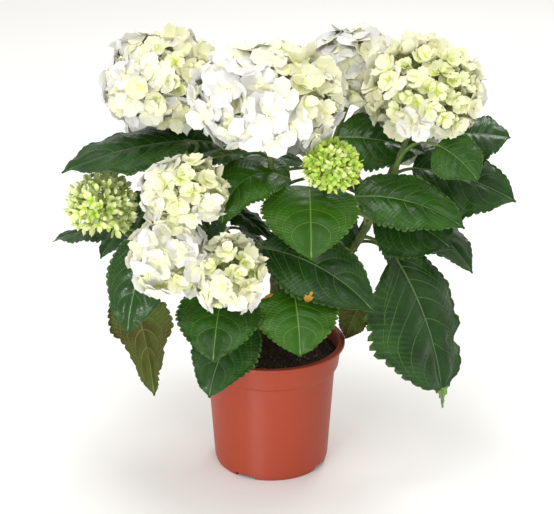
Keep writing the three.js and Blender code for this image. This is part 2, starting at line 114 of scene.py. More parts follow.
def socket(sockets: Sequence, key: str | int = "") -> Socket:
    """Finds a socket by its place, or by its name among those in use.

    Args:
        sockets: A node's inputs or outputs.
        key: A position, a name, or nothing for the first one in use.

    Returns:
        The socket.
    """
    if isinstance(key, int):
        return sockets[key]
    return next(s for s in sockets if s.enabled and key in ("", s.name))


def feed(node: Node, inputs: Inputs) -> None:
    """Sets or links a node's inputs.

    Args:
        node: The node.
        inputs: Input name or place, to a value, to an output, or to a node whose first output feeds it.
    """
    for key, value in inputs.items():
        target = socket(node.inputs, key)
        source = socket(value.outputs) if isinstance(value, Node) else value
        if isinstance(source, Socket):
            node.id_data.links.new(source, target)
        else:
            target.default_value = source


def add_node(tree: Tree, kind: str, inputs: Inputs | None = None, **settings: object) -> Node:
    """Adds a node with its settings and links.

    Args:
        tree: The tree that gets the node.
        kind: The node's type.
        inputs: What goes into it, as feed() takes it.
        settings: The node's own properties.

    Returns:
        The new node.
    """
    node = tree.nodes.new(kind)
    for name, value in settings.items():
        setattr(node, name, value)
    feed(node, inputs or {})
    return node


# Finishes


@dataclass(frozen=True)
class Finish:
    """What every finish has: a name, a colour and the shader's plain values.

    Colours are sRGB hex values. Sizes, widths and depths are those of the real surface.

    Attributes:
        uneven: How far the roughness falls and rises with the grain.
    """

    name: str
    colour: str
    roughness: float = 0.5
    ior: float = 1.45
    uneven: Span = (-0.06, 0.08)

    def material(self) -> Material:
        """Builds the material: plain values on the shader, then what the finish adds."""
        made = Surface(self)
        self.dress(made)
        return made.material

    def dress(self, made: "Surface") -> None:
        """Adds nothing to a plain finish."""


class Surface:
    """A material under way, and the patterns that its finish is made of."""

    def __init__(self, finish: Finish) -> None:
        """Makes the material with its plain values set on the shader.

        Args:
            finish: The finish that is built.
        """
        self.finish = finish
        self.material = bpy.data.materials.new(finish.name)
        self.material.use_nodes = True
        self.shader = self.material.node_tree.nodes["Principled BSDF"]
        self.set({"Base Color": linear(finish.colour), "Roughness": finish.roughness, "IOR": finish.ior})

    def set(self, inputs: Inputs) -> None:
        """Sets or links inputs of the shader."""
        feed(self.shader, inputs)

    def add(self, kind: str, inputs: Inputs | None = None, **settings: object) -> Node:
        """Adds a node to the material's tree."""
        return add_node(self.material.node_tree, kind, inputs, **settings)

    def grain(self, size: float, stretch: Point = (1, 1, 1)) -> Node:
        """Gives noise from 0 to 1 over object coordinates.

        Args:
            size: Width of a blot in millimetres.
            stretch: Factors on x, y and z, below 1 where the grain runs.

        Returns:
            The noise.
        """
        where = self.add("ShaderNodeTexCoord").outputs["Object"]
        where = self.add("ShaderNodeMapping", {"Vector": where, "Scale": stretch})
        values = {"Vector": where, "Scale": 1 / (size * MM), "Detail": NOISE_DETAIL}
        return self.add("ShaderNodeTexNoise", values)

    def ramp(self, value: Node, before: Span, after: Span) -> Node:
        """Takes a value from one span to another, and no further."""
        ends = {"From Min": before[0], "From Max": before[1], "To Min": after[0], "To Max": after[1]}
        return self.add("ShaderNodeMapRange", {"Value": value, **ends})

    def blend(self, share: Node, first: Node | str, second: str) -> Node:
        """Mixes two colours.

        Args:
            share: 0 for the first colour and 1 for the second.
            first: sRGB hex colour, or a node that gives one.
            second: sRGB hex colour.

        Returns:
            The mixed colour.
        """
        first = linear(first) if isinstance(first, str) else first
        values = {"Factor": share, "A": first, "B": linear(second)}
        return self.add("ShaderNodeMix", values, data_type="RGBA")

    def tint(self, noise: Node, second: str, share: Span = (0, 1)) -> None:
        """Lets the base colour drift to a second one, by its share where the noise is low and high."""
        mixed = self.blend(self.ramp(noise, NOISE_SPAN, share), self.finish.colour, second)
        self.set({"Base Color": mixed})

    def dull(self, noise: Node) -> None:
        """Lets the roughness vary with noise, as far as the finish is uneven."""
        low, high = (self.finish.roughness + step for step in self.finish.uneven)
        self.set({"Roughness": self.ramp(noise, NOISE_SPAN, (low, high))})

    def bump(self, height: Node, depth: float) -> None:
        """Gives the shader a relief of a depth in millimetres."""
        values = {"Height": height, "Distance": depth * MM, "Strength": 1.0}
        self.set({"Normal": self.add("ShaderNodeBump", values)})


@dataclass(frozen=True)
class LeafSkin(Finish):
    """Upper or lower skin of a leaf.

    The upper skin has a waxy cuticle, so the eye sees a broken gloss over dark green, with the ladder
    of cross veins just under it and a pale rim along the teeth. The lower skin is paler and duller.
    The pattern reads each blade's own guide: shares along and across it.

    Attributes:
        pore: Width of the grain that breaks the gloss.
        rung_out: Shares out from the midrib between which the cross veins grow to full strength.
        rung_least: Their strength at the midrib.
        rung_crest: Share of a cross vein's height from which its colour shows.
        rim: Share out from the midrib where the rim starts.
        lean: How far a cross vein runs back towards the stalk on its way out.
    """

    shade: str = "#1d3d1c"
    vein: str = "#56783f"
    roughness: float = 0.38
    ior: float = 1.47
    uneven: Span = (-0.07, 0.12)
    blot: float = 26.0
    pore: float = 5.0
    rungs: float = 26.0
    waver: float = 2.6
    waver_size: float = 0.9
    rung_out: Span = (0.15, 0.6)
    rung_least: float = 0.12
    rung_crest: float = 0.6
    rung_depth: float = 0.16
    rung_share: float = 0.26
    rim: float = 0.955
    rim_share: float = 0.55
    lean: float = 0.2
    sheen: float = 0.28

    def dress(self, made: Surface) -> None:
        """Adds blots, cross veins, the pale rim and a broken gloss."""
        guide = made.add("ShaderNodeAttribute", attribute_name=GUIDE).outputs["Vector"]
        parts = made.add("ShaderNodeSeparateXYZ", {"Vector": guide}).outputs
        out = made.add("ShaderNodeMath", {0: parts["Y"]}, operation="ABSOLUTE")
        lean = made.add("ShaderNodeMath", {0: out, 1: self.lean, 2: parts["X"]}, operation="MULTIPLY_ADD")
        bands = {
            "Vector": made.add("ShaderNodeCombineXYZ", {"X": lean, "Y": out}),
            "Scale": self.rungs * 2 * math.pi / WAVE_PHASE,
            "Distortion": self.waver,
            "Detail Scale": self.waver_size,
        }
        wave = made.add("ShaderNodeTexWave", bands, bands_direction="X").outputs["Fac"]
        outer = made.ramp(out, self.rung_out, (self.rung_least, 1))
        rungs = made.add("ShaderNodeMath", {0: wave, 1: outer}, operation="MULTIPLY")
        rung = made.ramp(rungs, (self.rung_crest, 1), (0, self.rung_share))
        rim = made.ramp(out, (self.rim, 1), (0, self.rim_share))
        share = made.add("ShaderNodeMath", {0: rung, 1: rim}, operation="MAXIMUM")
        body = made.blend(made.ramp(made.grain(self.blot), NOISE_SPAN, (0, 1)), self.shade, self.colour)
        made.set({"Base Color": made.blend(share, body, self.vein), "Specular IOR Level": self.sheen})
        made.dull(made.grain(self.pore))
        made.bump(rungs, self.rung_depth)


@dataclass(frozen=True)
class PlainTissue(Finish):
    """Soft living tissue in one plain colour: veins, stalks, sepals and scorched leaf edges.

    Its colour has a place, so it is dealt out by face. The eye gets its life from the fine grain
    of the skin and, in sepals, from the light that soaks in.

    Attributes:
        soak: Weight of the light that passes under the skin.
        soak_tint: Share of that way for red, green and blue.
    """

    skin_size: float = 1.4
    skin_depth: float = 0.08
    soak: float = 0.0
    soak_depth: float = 2.5
    soak_tint: Point = (1.0, 1.0, 0.7)

    def dress(self, made: Surface) -> None:
        """Adds the fine grain, and in sepals the light that soaks in."""
        if self.soak:
            scale = self.soak_depth * MM
            made.set({"Subsurface Weight": self.soak, "Subsurface Scale": scale})
            made.set({"Subsurface Radius": self.soak_tint})
        grain = made.grain(self.skin_size)
        made.dull(grain)
        made.bump(grain, self.skin_depth)


@dataclass(frozen=True)
class YoungBark(Finish):
    """Green wood with a thin brown skin: matt, streaked along the stem.

    Attributes:
        drawn: Factor that draws the streaks out along the stem.
    """

    uneven: Span = (-0.08, 0.1)
    streak: str = "#6a5532"
    streak_width: float = 2.4
    drawn: float = 0.22
    depth: float = 0.3

    def dress(self, made: Surface) -> None:
        """Adds the streaks in colour, gloss and relief."""
        streaks = made.grain(self.streak_width, (1, 1, self.drawn))
        made.tint(streaks, self.streak)
        made.dull(streaks)
        made.bump(streaks, self.depth)


@dataclass(frozen=True)
class MouldedPolypropylene(Finish):
    """Injection-moulded polypropylene: an even colour with a soft gloss, and patches of dust.

    The eye sees one soft upright highlight, drawn out by the fine lines that the mould leaves as the
    pot slides off it and slightly broken by shallow sink marks, with faint rubbed patches and a
    dustier, greyer tone where wet soil has dried.

    Attributes:
        drawn: How far the highlight is drawn out upright.
        drawn_turn: Turn of its long axis, in full turns from the level.
        dusty: Share of that colour outside and inside a patch.
        sink: Width of the shallow sink marks.
        scuff: Width of the rubbed patches.
    """

    ior: float = 1.5
    uneven: Span = (-0.03, 0.09)
    sheen: float = 0.6
    drawn: float = 0.7
    drawn_turn: float = 0.25
    dust: str = "#923f2a"
    dusty: Span = (-0.5, 0.25)
    sink: float = 38.0
    sink_depth: float = 0.35
    scuff: float = 9.0
    skin: float = 1.5

    def dress(self, made: Surface) -> None:
        """Adds the drawn-out highlight, the dust, the rubbed patches and the sink marks."""
        facing = made.add("ShaderNodeNewGeometry").outputs["Normal"]
        level = made.add("ShaderNodeVectorMath", {0: facing, 1: (0, 0, 1)}, operation="CROSS_PRODUCT")
        made.set({"Anisotropic": self.drawn, "Anisotropic Rotation": self.drawn_turn, "Tangent": level})
        made.set({"Specular IOR Level": self.sheen})
        made.tint(made.grain(self.scuff), self.dust, self.dusty)
        made.dull(made.grain(self.skin))
        made.bump(made.grain(self.sink), self.sink_depth)


@dataclass(frozen=True)
class DampPeat(Finish):
    """Peat compost, damp and dark: matt crumbs with a little wet shine between fibres.

    Attributes:
        fibrous: Share of the fibres' colour between them and on them.
        wet: Width of a wet patch.
    """

    roughness: float = 0.9
    uneven: Span = (-0.28, 0.08)
    fibre: str = "#4a3524"
    fibre_width: float = 2.2
    fibrous: Span = (-0.4, 0.9)
    wet: float = 6.0
    depth: float = 0.9

    def dress(self, made: Surface) -> None:
        """Adds the fibres and the wet patches."""
        fibres = made.grain(self.fibre_width)
        made.tint(fibres, self.fibre, self.fibrous)
        made.dull(made.grain(self.wet))
        made.bump(fibres, self.depth)


@dataclass(frozen=True)
class LeafColours:
    """The colours of one sort of leaf, sRGB hex.

    Attributes:
        upper: Upper skin.
        shade: Darker blots of the upper skin.
        lower: Lower skin.
        vein: Midrib on the upper skin.
        side: Side veins on the upper skin.
        rib: Veins on the lower skin.
        gloss: Roughness of the upper skin.
        ladder: Relief of the cross veins.
        stain: Colour of the blots on the lower skin, or none.
    """

    upper: str
    shade: str
    lower: str
    vein: str
    side: str
    rib: str
    gloss: float = 0.38
    ladder: float = 0.08
    stain: str | None = None


class LeafTone(Enum):
    """The sorts of leaf on the plant, from the old dark ones to the fresh ones at the front."""

    DEEP = LeafColours("#264b17", "#18340f", "#4f682c", "#628545", "#426529", "#7b9350", 0.27)
    MIDDLE = LeafColours("#2d5813", "#1f400e", "#556f2f", "#66893f", "#497030", "#829b56", 0.27)
    FRESH = LeafColours("#34630c", "#264d09", "#5d7834", "#6a8f3c", "#527b24", "#8da55c", 0.34, 0.15)
    TURNED = LeafColours(
        "#33481a", "#3c3713", "#47591b", "#5d7632", "#466024", "#6e7c3b", 0.38, stain="#45380f"
    )


SEPAL_LADDER = (
    ("white", "#dfdeda"),
    ("ivory", "#e4e3d2"),
    ("cream", "#edeccc"),
    ("pale_lime", "#eff1c8"),
    ("lime", "#e4eaa6"),
    ("deep_lime", "#c8d668"),
    ("bud_tip", "#e2eaaa"),
    ("bud", "#c3da62"),
    ("bud_heart", "#a0c246"),
    ("bud_core", "#7ca036"),
)
SEPAL_SKIN = {"roughness": 0.62, "skin_size": 2.4, "skin_depth": 0.12, "soak": 0.1}


class Sepals(Enum):
    """A floret's colour at the rim of its sepals; towards its heart it goes on down the ladder."""

    WHITE = 0
    IVORY = 1
    CREAM = 2
    LIME = 3
    BUD_TIP = 6
    BUD = 7


class Stage(Enum):
    """How far a floret has opened: the first of its shapes in the floret collection."""

    OPEN = 0
    HALF = 3
    TIGHT = 6
    BEAD = 9


SHAPES_PER_STAGE = 3


# Repeatable random numbers and plane geometry


class Dice:
    """Repeatable random numbers from 0 to 1, the same ones as the rule of the solids draws."""

    def __init__(self, seed: int) -> None:
        """Starts the sequence at a whole number."""
        self.state = seed & WORD

    def roll(self) -> float:
        """Draws the next number."""
        self.state = (self.state + 0x6D2B79F5) & WORD
        t = self.state
        t = ((t ^ (t >> 15)) * (t | 1)) & WORD
        t ^= (t + (((t ^ (t >> 7)) * (t | 61)) & WORD)) & WORD
        return (t ^ (t >> 14)) / 2**32

    def between(self, span: Span) -> float:
        """Draws a number from a span."""
        return span[0] + (span[1] - span[0]) * self.roll()


def unit(v: np.ndarray) -> np.ndarray:
    """Scales vectors to length 1."""
    return v / np.maximum(np.linalg.norm(v, axis=-1, keepdims=True), 1e-12)


@dataclass(frozen=True)
class Bend:
    """A quadratic curve from start to end, steered by one point between them."""

    start: np.ndarray
    steer: np.ndarray
    end: np.ndarray

    def at(self, t: np.ndarray | float) -> np.ndarray:
        """Gives points at shares t of the curve."""
        t = np.asarray(t, float)[..., None]
        return (1 - t) ** 2 * self.start + 2 * t * (1 - t) * self.steer + t**2 * self.end

    def slope(self, t: np.ndarray | float) -> np.ndarray:
        """Gives unit directions along the curve at shares t."""
        t = np.asarray(t, float)[..., None]
        return unit(2 * (1 - t) * (self.steer - self.start) + 2 * t * (self.end - self.steer))

    def square(self) -> np.ndarray:
        """Gives a direction square to the curve's plane, or to a straight curve."""
        first = self.slope(0.0)
        normal = np.cross(first, self.slope(1.0))
        if np.linalg.norm(normal) < 0.01:
            normal = np.cross(first, (0, 1, 0) if abs(first[2]) > 0.7 else (0, 0, 1))
        return unit(normal)

    def length(self) -> float:
        """Gives the curve's length."""
        return float(np.linalg.norm(np.diff(self.at(np.linspace(0, 1, 33)), axis=0), axis=1).sum())


@dataclass
class Patch:
    """Points and faces that go into a mesh. A face's last entry is TRIANGLE where it has three corners.

    A blade's patch also guides its pattern, by each point's shares along and across.
    """

    points: np.ndarray
    faces: np.ndarray
    finish: np.ndarray | int = 0
    guide: np.ndarray | None = None


def make_piece(name: str, patches: Sequence[Patch], finishes: Sequence[Material] = ()) -> Piece:
    """Makes one object of patches, in metres.

    Args:
        name: The object's name.
        patches: What its mesh is made of.
        finishes: The materials that the faces' finish numbers name.

    Returns:
        The linked object.
    """
    faces: list[list[int]] = []
    start = 0
    for patch in patches:
        shifted = np.where(patch.faces == TRIANGLE, TRIANGLE, patch.faces + start).tolist()
        faces += [f[:3] if f[3] == TRIANGLE else f for f in shifted]
        start += len(patch.points)
    mesh = bpy.data.meshes.new(name)
    points = np.concatenate([p.points for p in patches]) * MM
    mesh.from_pydata(points.tolist(), [], faces)
    finish = np.concatenate([np.broadcast_to(p.finish, len(p.faces)) for p in patches])
    mesh.polygons.foreach_set("material_index", finish.astype(np.int32))
    for made in finishes:
        mesh.materials.append(made)
    guides = [p.guide for p in patches if p.guide is not None]
    if guides:
        guide = mesh.attributes.new(GUIDE, "FLOAT_VECTOR", "POINT")
        guide.data.foreach_set("vector", np.concatenate(guides).ravel())
    mesh.shade_smooth()
    mesh.update()
    return link(bpy.data.objects.new(name, mesh))


def link(obj: Piece) -> Piece:
    """Puts an object into the scene."""
    bpy.context.scene.collection.objects.link(obj)
    return obj


def settle(obj: Piece, nodes: Sequence[str] = ()) -> None:
    """Tells the frame what a finished piece rides on, and which CAD nodes it stands for.

    Args:
        obj: The finished piece.
        nodes: CAD nodes that the piece replaces.
    """
    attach(obj, BODY)
    if nodes:
        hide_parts(*nodes)
    triangles = sum(len(p.vertices) - 2 for p in obj.data.polygons)
    LOG.info("%s: %d triangles", obj.name, triangles)


def sheet_faces(rows: int, columns: int, flip: bool = False, wrap: bool = False) -> np.ndarray:
    """Gives the faces of a grid of points.

    Args:
        rows: Rows of points.
        columns: Points in a row.
        flip: True to face the other way.
        wrap: True if the last column joins the first.

    Returns:
        Four corners a face.
    """
    i, j = np.meshgrid(np.arange(rows - 1), np.arange(columns if wrap else columns - 1), indexing="ij")
    right = (j + 1) % columns
    corners = [i * columns + j, (i + 1) * columns + j, (i + 1) * columns + right, i * columns + right]
    faces = np.stack([c.ravel() for c in corners], axis=1)
    return faces[:, ::-1] if flip else faces


def tube(curve: Bend, span: Span, radius: Radius, sides: int, steps: int, finish: int = 0) -> Patch:
    """Makes a closed stem along a curve.

    Args:
        curve: The stem's middle line.
        span: Where it starts and ends on the curve.
        radius: Gives radii from shares along the stem and angles round it.
        sides: Points round the stem.
        steps: Rings along it, less one.
        finish: The finish number of its faces.

    Returns:
        The stem with domed ends.
    """
    share = np.linspace(0, 1, steps + 1)
    t = span[0] + (span[1] - span[0]) * share
    angle = np.arange(sides) * (2 * math.pi / sides)
    side = curve.square()
    up = np.cross(side, curve.slope(t))
    reach = radius(share[:, None], angle[None, :])
    ring = (
        curve.at(t)[:, None, :]
        + side * (np.cos(angle)[None, :] * reach)[..., None]
        + up[:, None, :] * (np.sin(angle)[None, :] * reach)[..., None]
    )
    points = ring.reshape(-1, 3)
    faces = sheet_faces(steps + 1, sides, flip=True, wrap=True)
    caps = []
    for end, row, sign in ((0, 0, -1), (1, steps, 1)):
        tip = curve.at(t[row]) + curve.slope(t[row]) * sign * reach[row].mean() * 0.4
        around = np.arange(sides) + row * sides
        after = np.roll(around, -1)
        pair = (around, after) if sign > 0 else (after, around)
        caps.append(np.stack([*pair, np.full(sides, len(points)), np.full(sides, TRIANGLE)], axis=1))
        points = np.vstack([points, tip])
    return Patch(points, np.vstack([faces, *caps]), finish)


def taper(foot: float, top: float) -> Radius:
    """Gives a plain tapering radius."""
    return lambda share, angle: (foot + (top - foot) * share) * np.ones_like(angle * share)


# The plant's plan, from the same driving sizes as the solids


@dataclass(frozen=True)
class Leaf:
    """One leaf: its place on the stem, the foot of its blade, its aim, its size and its curves.

    Attributes:
        at: Share of the shoot's curve where the leaf stalk springs.
        base: Foot of the blade.
        aim: Bearing and rise at the foot.
        size: Length and width.
        droop: How far the blade turns down towards its tip.
        roll: Turn of the blade about its own length.
        sweep: How far its bearing turns towards its tip.
        fold: Angle of each half above the midrib's plane.
        bites: Lost edge, or a fuller one where the depth is below 0: place along the blade, side, depth
            and length, as shares.
        spots: Scorched edge: place along the blade, side and length, as shares.
        pale_from: Share of the blade's length from which its tip is pale.
    """

    at: float
    base: Point
    aim: Span
    size: Span
    droop: float
    roll: float = 0
    sweep: float = 0
    fold: float = 14
    tone: LeafTone = LeafTone.DEEP
    bites: tuple[tuple[float, int, float, float], ...] = ()
    spots: tuple[tuple[float, int, float], ...] = ()
    pale_from: float = 1.0


@dataclass(frozen=True)
class Head:
    """One flower head or bud cluster.

    Attributes:
        radius: Half its size along x, y and z.
        florets: Flowers on the head's solid, which set how many florets are dealt here.
        petal: Mean radius of a floret.
        young: Direction of the side that is still young and greenish.
        ripe: Share of the florets that are full white, or in a bud cluster the share of pale ones.
        crowd: Florets for each flower on the solid of a bud cluster.
    """

    centre: Point
    radius: Point
    florets: int
    petal: float
    young: Point = (0.3, -0.6, 0.5)
    ripe: float = 0.6
    crowd: float = 8.5


@dataclass(frozen=True)
class Shoot:
    """One shoot: a bare cane, a leafy stretch, and a stalk with its flower heads."""

    name: str
    foot: Point
    steer: Point
    tip: Point
    bare: float
    leafy: float
    turn: float
    heads: tuple[Head, ...]
    leaves: tuple[Leaf, ...] = ()

    def curve(self) -> Bend:
        """Gives the middle line of the whole shoot."""
        return Bend(np.array(self.foot, float), np.array(self.steer, float), np.array(self.tip, float))

    def is_bud(self) -> bool:
        """Tells whether the shoot ends in a cluster that hasn't opened."""
        return self.name.endswith("bud")


DEEP, MIDDLE, FRESH, TURNED = LeafTone

SHOOTS = (
    Shoot(
        "upper_left", (-6, 1, 134), (-50, 6, 245), (-94, 7, 352), 0.42, 0.82, 60,
        (Head((-98, 8, 376), (55, 54, 45), 24, 15.5, (0.8, -0.6, 0.1), 0.5),),
        (
            Leaf(0.77, (-73, -12, 326), (-164, 3), (120, 82), 25, -8, bites=((0.95, 1, 0.7, 0.03),)),
            Leaf(0.66, (-82, -18, 293), (-148, -12), (50, 54), 40),
            Leaf(0.77, (-78, 16, 316), (-10, 8), (66, 56), 30, 30),
        ),
    ),
    Shoot(
        "upper_front", (0, -6, 138), (10, -28, 270), (-4, -73, 352), 0.5, 0.88, 20,
        (Head((-3, -77, 385), (66, 58, 49), 26, 16.5, (0.8, -0.1, 0.6), 0.66),),
        (
            Leaf(0.84, (-27, -40, 325), (-161, -3), (94, 64), 20, 22, fold=25),
            Leaf(0.76, (17, -58, 305), (-175, 35), (92, 58), 120, -20, 55, tone=FRESH),
        ),
    ),
    Shoot(
        "upper_back", (5, 3, 138), (42, 0, 280), (76, 73, 345), 0.45, 0.88, 40,
        (Head((76, 76, 368), (44, 44, 40), 18, 14.5, (0.9, -0.4, -0.2), 0.6),),
        (Leaf(0.74, (62, 28, 316), (-7, 4), (82, 72), 25, 30, tone=MIDDLE),),
    ),
    Shoot(
        "upper_right", (9, 0, 130), (92, -14, 215), (130, -6, 350), 0.5, 0.88, 10,
        (Head((136, -5, 370), (54, 52, 46), 24, 15.5, (0.1, -0.75, 0.5), 0.34),),
        (
            Leaf(0.8, (148, -36, 330), (-34, -14), (50, 52), 35, 30, tone=MIDDLE),
            Leaf(
                0.85, (168, 20, 322), (-6, 5), (52, 52), 15, 25,
                bites=((0.65, -1, -0.42, 0.3), (0.75, 1, -0.25, 0.25)),
            ),
            Leaf(0.7, (130, 10, 292), (-9, -1), (101, 78), 30, 30, bites=((0.6, -1, -0.26, 0.35),)),
            Leaf(0.6, (75, -42, 283), (-10, 9), (105, 64), 45, 32, tone=MIDDLE),
            Leaf(0.56, (95, -15, 262), (-16, -9), (80, 88), 30, 30),
            Leaf(
                0.52, (114, -15, 215), (-33, -51), (154, 102), 35, 10,
                bites=(
                    (0.38, -1, -0.34, 0.4),
                    (0.62, 1, 0.4, 0.05),
                    (0.49, 1, 0.16, 0.025),
                    (0.9, 1, 0.62, 0.07),
                    (0.9, -1, 0.62, 0.07),
                    (0.97, 1, 0.5, 0.05),
                    (0.97, -1, 0.5, 0.05),
                ),
                pale_from=0.87,
            ),
        ),
    ),
    Shoot(
        "lower_left", (-5, -7, 132), (-50, -55, 215), (-64, -92, 260), 0.24, 0.86, 0,
        (
            Head((-74, -108, 311), (38, 33, 31), 11, 13.5, (0.4, -0.6, 0.5), 0.5),
            Head((-87, -112, 253), (34, 31, 43), 12, 14, (-0.3, -0.4, 0.85), 0.72),
            Head((-37, -114, 237), (32, 31, 36), 11, 13.5, (0.2, -0.9, 0.3), 0.52),
        ),
        (
            Leaf(0.6, (-104, -60, 252), (-136, -53), (92, 62), 30, -30),
            Leaf(0.52, (-42, -62, 202), (-99, -10), (77, 80), 60, tone=MIDDLE),
            Leaf(0.29, (-26, -45, 166), (-128, -27), (82, 76), 50),
            Leaf(0.78, (-44, -66, 236), (120, 84), (48, 36), 10, 30),
        ),
    ),
    Shoot(
        "left_bud", (-9, 0, 128), (-92, -16, 200), (-148, -28, 258), 0.5, 0.86, 30,
        (Head((-153, -30, 270), (33, 33, 32), 16, 9.5, ripe=0.9, crowd=5.5),),
        (
            Leaf(0.72, (-130, -5, 238), (168, 1), (79, 54), 30),
            Leaf(
                0.66, (-131, -42, 200), (38, -70), (126, 60), 16, -56, tone=TURNED,
                bites=((0.64, 1, 0.34, 0.2), (0.68, -1, 0.44, 0.18), (0.86, -1, 0.45, 0.08)),
            ),
        ),
    ),
    Shoot(
        "front_bud", (8, -8, 132), (46, -30, 288), (51, -90, 322), 0.28, 0.86, 15,
        (Head((53, -94, 330), (26, 26, 25), 15, 7.5, ripe=0.15),),
        (
            Leaf(0.66, (34, -62, 300), (-89, -1), (82, 88), 70, tone=FRESH),
            Leaf(0.42, (-7, -62, 242), (-13, -5), (118, 72), 45, 40, spots=((0.5, -1, 0.03),)),
            Leaf(0.33, (20, -64, 204), (-80, -25), (66, 78), 60, tone=FRESH, spots=((0.12, -1, 0.05),)),
        ),
    ),
    Shoot(
        "back_left", (-5, 8, 132), (-66, 70, 200), (-94, 98, 292), 0.35, 0.86, 75,
        (Head((-96, 100, 312), (44, 44, 38), 18, 14.5, (0.2, 0.7, 0.6), 0.6),),
    ),
    Shoot(
        "back_middle", (2, 9, 134), (12, 88, 200), (14, 120, 284), 0.35, 0.86, 20,
        (Head((14, 122, 304), (46, 44, 38), 18, 14.5, (-0.5, 0.7, 0.4), 0.7),),
    ),
    Shoot(
        "back_right", (8, 6, 130), (88, 60, 190), (124, 92, 284), 0.35, 0.86, 50,
        (Head((126, 94, 304), (42, 42, 37), 18, 13.5, (0.6, 0.4, 0.6), 0.5),),
        (Leaf(0.38, (88, 20, 156), (-155, -53), (42, 36), 20, 150, tone=TURNED),),
    ),
)


# Leaf blades


@dataclass(frozen=True)
class BladeForm:
    """The form of every blade: a broad oval with a drip tip, folded at the midrib and arched.

    The first sizes are those of the solids. The others carry the form on to its teeth and quilting.

    Attributes:
        broad_base: Power of the oval's outline at its foot.
        taper: Its power at the tip.
        tip_from: Share from which the drip tip may stand out of the oval.
        tip_slope: How fast the drip tip narrows.
        neck: Least half width.
        cup: How far each half curls down.
        bend: Where a leaf stalk is steered, as a share of its length from the blade.
        seat: Share of the blade where its stalk ends.
        point: Half width of the finer tip.
        blunt: How much of the outline the finer blade takes, so that its tip stays blunt.
        quilt: Height of the quilting, as a share of the blade's length.
    """

    broad_base: float = 0.55
    taper: float = 0.85
    oval_end: float = 0.94
    tip_from: float = 0.5
    tip_slope: float = 0.7
    neck: float = 1.3
    cup: float = 0.35
    rib_steps: int = 24
    bend: float = 0.55
    seat: float = 0.06
    point: float = 0.25
    blunt: float = 0.957
    thickness: float = 0.5
    quilt: float = 0.02
    wave: float = 1.5

    def half_width(self, s: np.ndarray) -> np.ndarray:
        """Gives half the width at shares s of the length, 1 at the widest."""
        a, b = self.broad_base, self.taper
        top = (a / (a + b)) ** a * (b / (a + b)) ** b
        x = np.clip(s / self.oval_end, 0, 1)
        oval = x**a * (1 - x) ** b / top
        return np.where(s > self.tip_from, np.maximum(oval, self.tip_slope * (1 - s)), oval)

    def frame(self, leaf: Leaf, s: np.ndarray) -> tuple[np.ndarray, np.ndarray, np.ndarray]:
        """Gives the directions along, across and out of a blade at shares s."""
        yaw = np.radians(leaf.aim[0] + leaf.sweep * s)
        pitch = np.radians(leaf.aim[1] - leaf.droop * s)
        flat = np.cos(pitch)
        along = np.stack([np.cos(yaw) * flat, np.sin(yaw) * flat, np.sin(pitch)], -1)
        level = np.stack([-np.sin(yaw), np.cos(yaw), np.zeros_like(yaw)], -1)
        roll = math.radians(leaf.roll)
        side = level * math.cos(roll) + np.cross(along, level) * math.sin(roll)
        return along, side, np.cross(along, side)

    def midrib(self, leaf: Leaf) -> np.ndarray:
        """Gives the points down a blade's midrib."""
        middle = (np.arange(self.rib_steps) + 0.5) / self.rib_steps
        along, _, _ = self.frame(leaf, middle)
        steps = along * (leaf.size[0] / self.rib_steps)
        return np.vstack([np.zeros(3), np.cumsum(steps, axis=0)]) + np.array(leaf.base, float)

    def surface(self, leaf: Leaf, s: np.ndarray, v: np.ndarray, fine: bool = False) -> np.ndarray:
        """Gives points of a blade's middle surface.

        Args:
            leaf: The leaf.
            s: Shares along the blade.
            v: Shares across it, from -1 to 1.
            fine: True for the pointed tip of the real blade, False for the blunt one of the solids.

        Returns:
            Points of the same shape as s.
        """
        rib = self.midrib(leaf)
        place = np.clip(s, 0, 1) * self.rib_steps
        step = np.minimum(place.astype(int), self.rib_steps - 1)
        on_rib = rib[step] + (rib[step + 1] - rib[step]) * (place - step)[..., None]
        _, side, up = self.frame(leaf, s)
        length, width = leaf.size
        least = self.neck * (1 - s) + self.point if fine else self.neck
        half = np.maximum(self.half_width(s * (self.blunt if fine else 1)) * (width / 2), least)
        out = np.abs(v) * half
        fold = math.radians(leaf.fold)
        lift = out * math.tan(fold) - self.cup * out * out / (width / 2)
        return on_rib + side * (v * half * math.cos(fold))[..., None] + up * lift[..., None]

    def stalk(self, shoot: Bend, leaf: Leaf) -> Bend:
        """Gives the leaf stalk's line, from the stem to just inside the blade."""
        foot = shoot.at(leaf.at)
        base = np.array(leaf.base, float)
        along, _, _ = self.frame(leaf, np.array(0.0))
        steer = base - along * (np.linalg.norm(base - foot) * self.bend)
        end = self.surface(leaf, np.array(self.seat), np.array(0.0))
        return Bend(foot, steer, end)


def faded(s: np.ndarray, foot: float, tip: float) -> np.ndarray:
    """Gives 1 along a blade, and less over the shares foot and tip at its ends."""
    return np.clip(s / foot, 0, 1) * np.clip((1 - s) / tip, 0, 1)


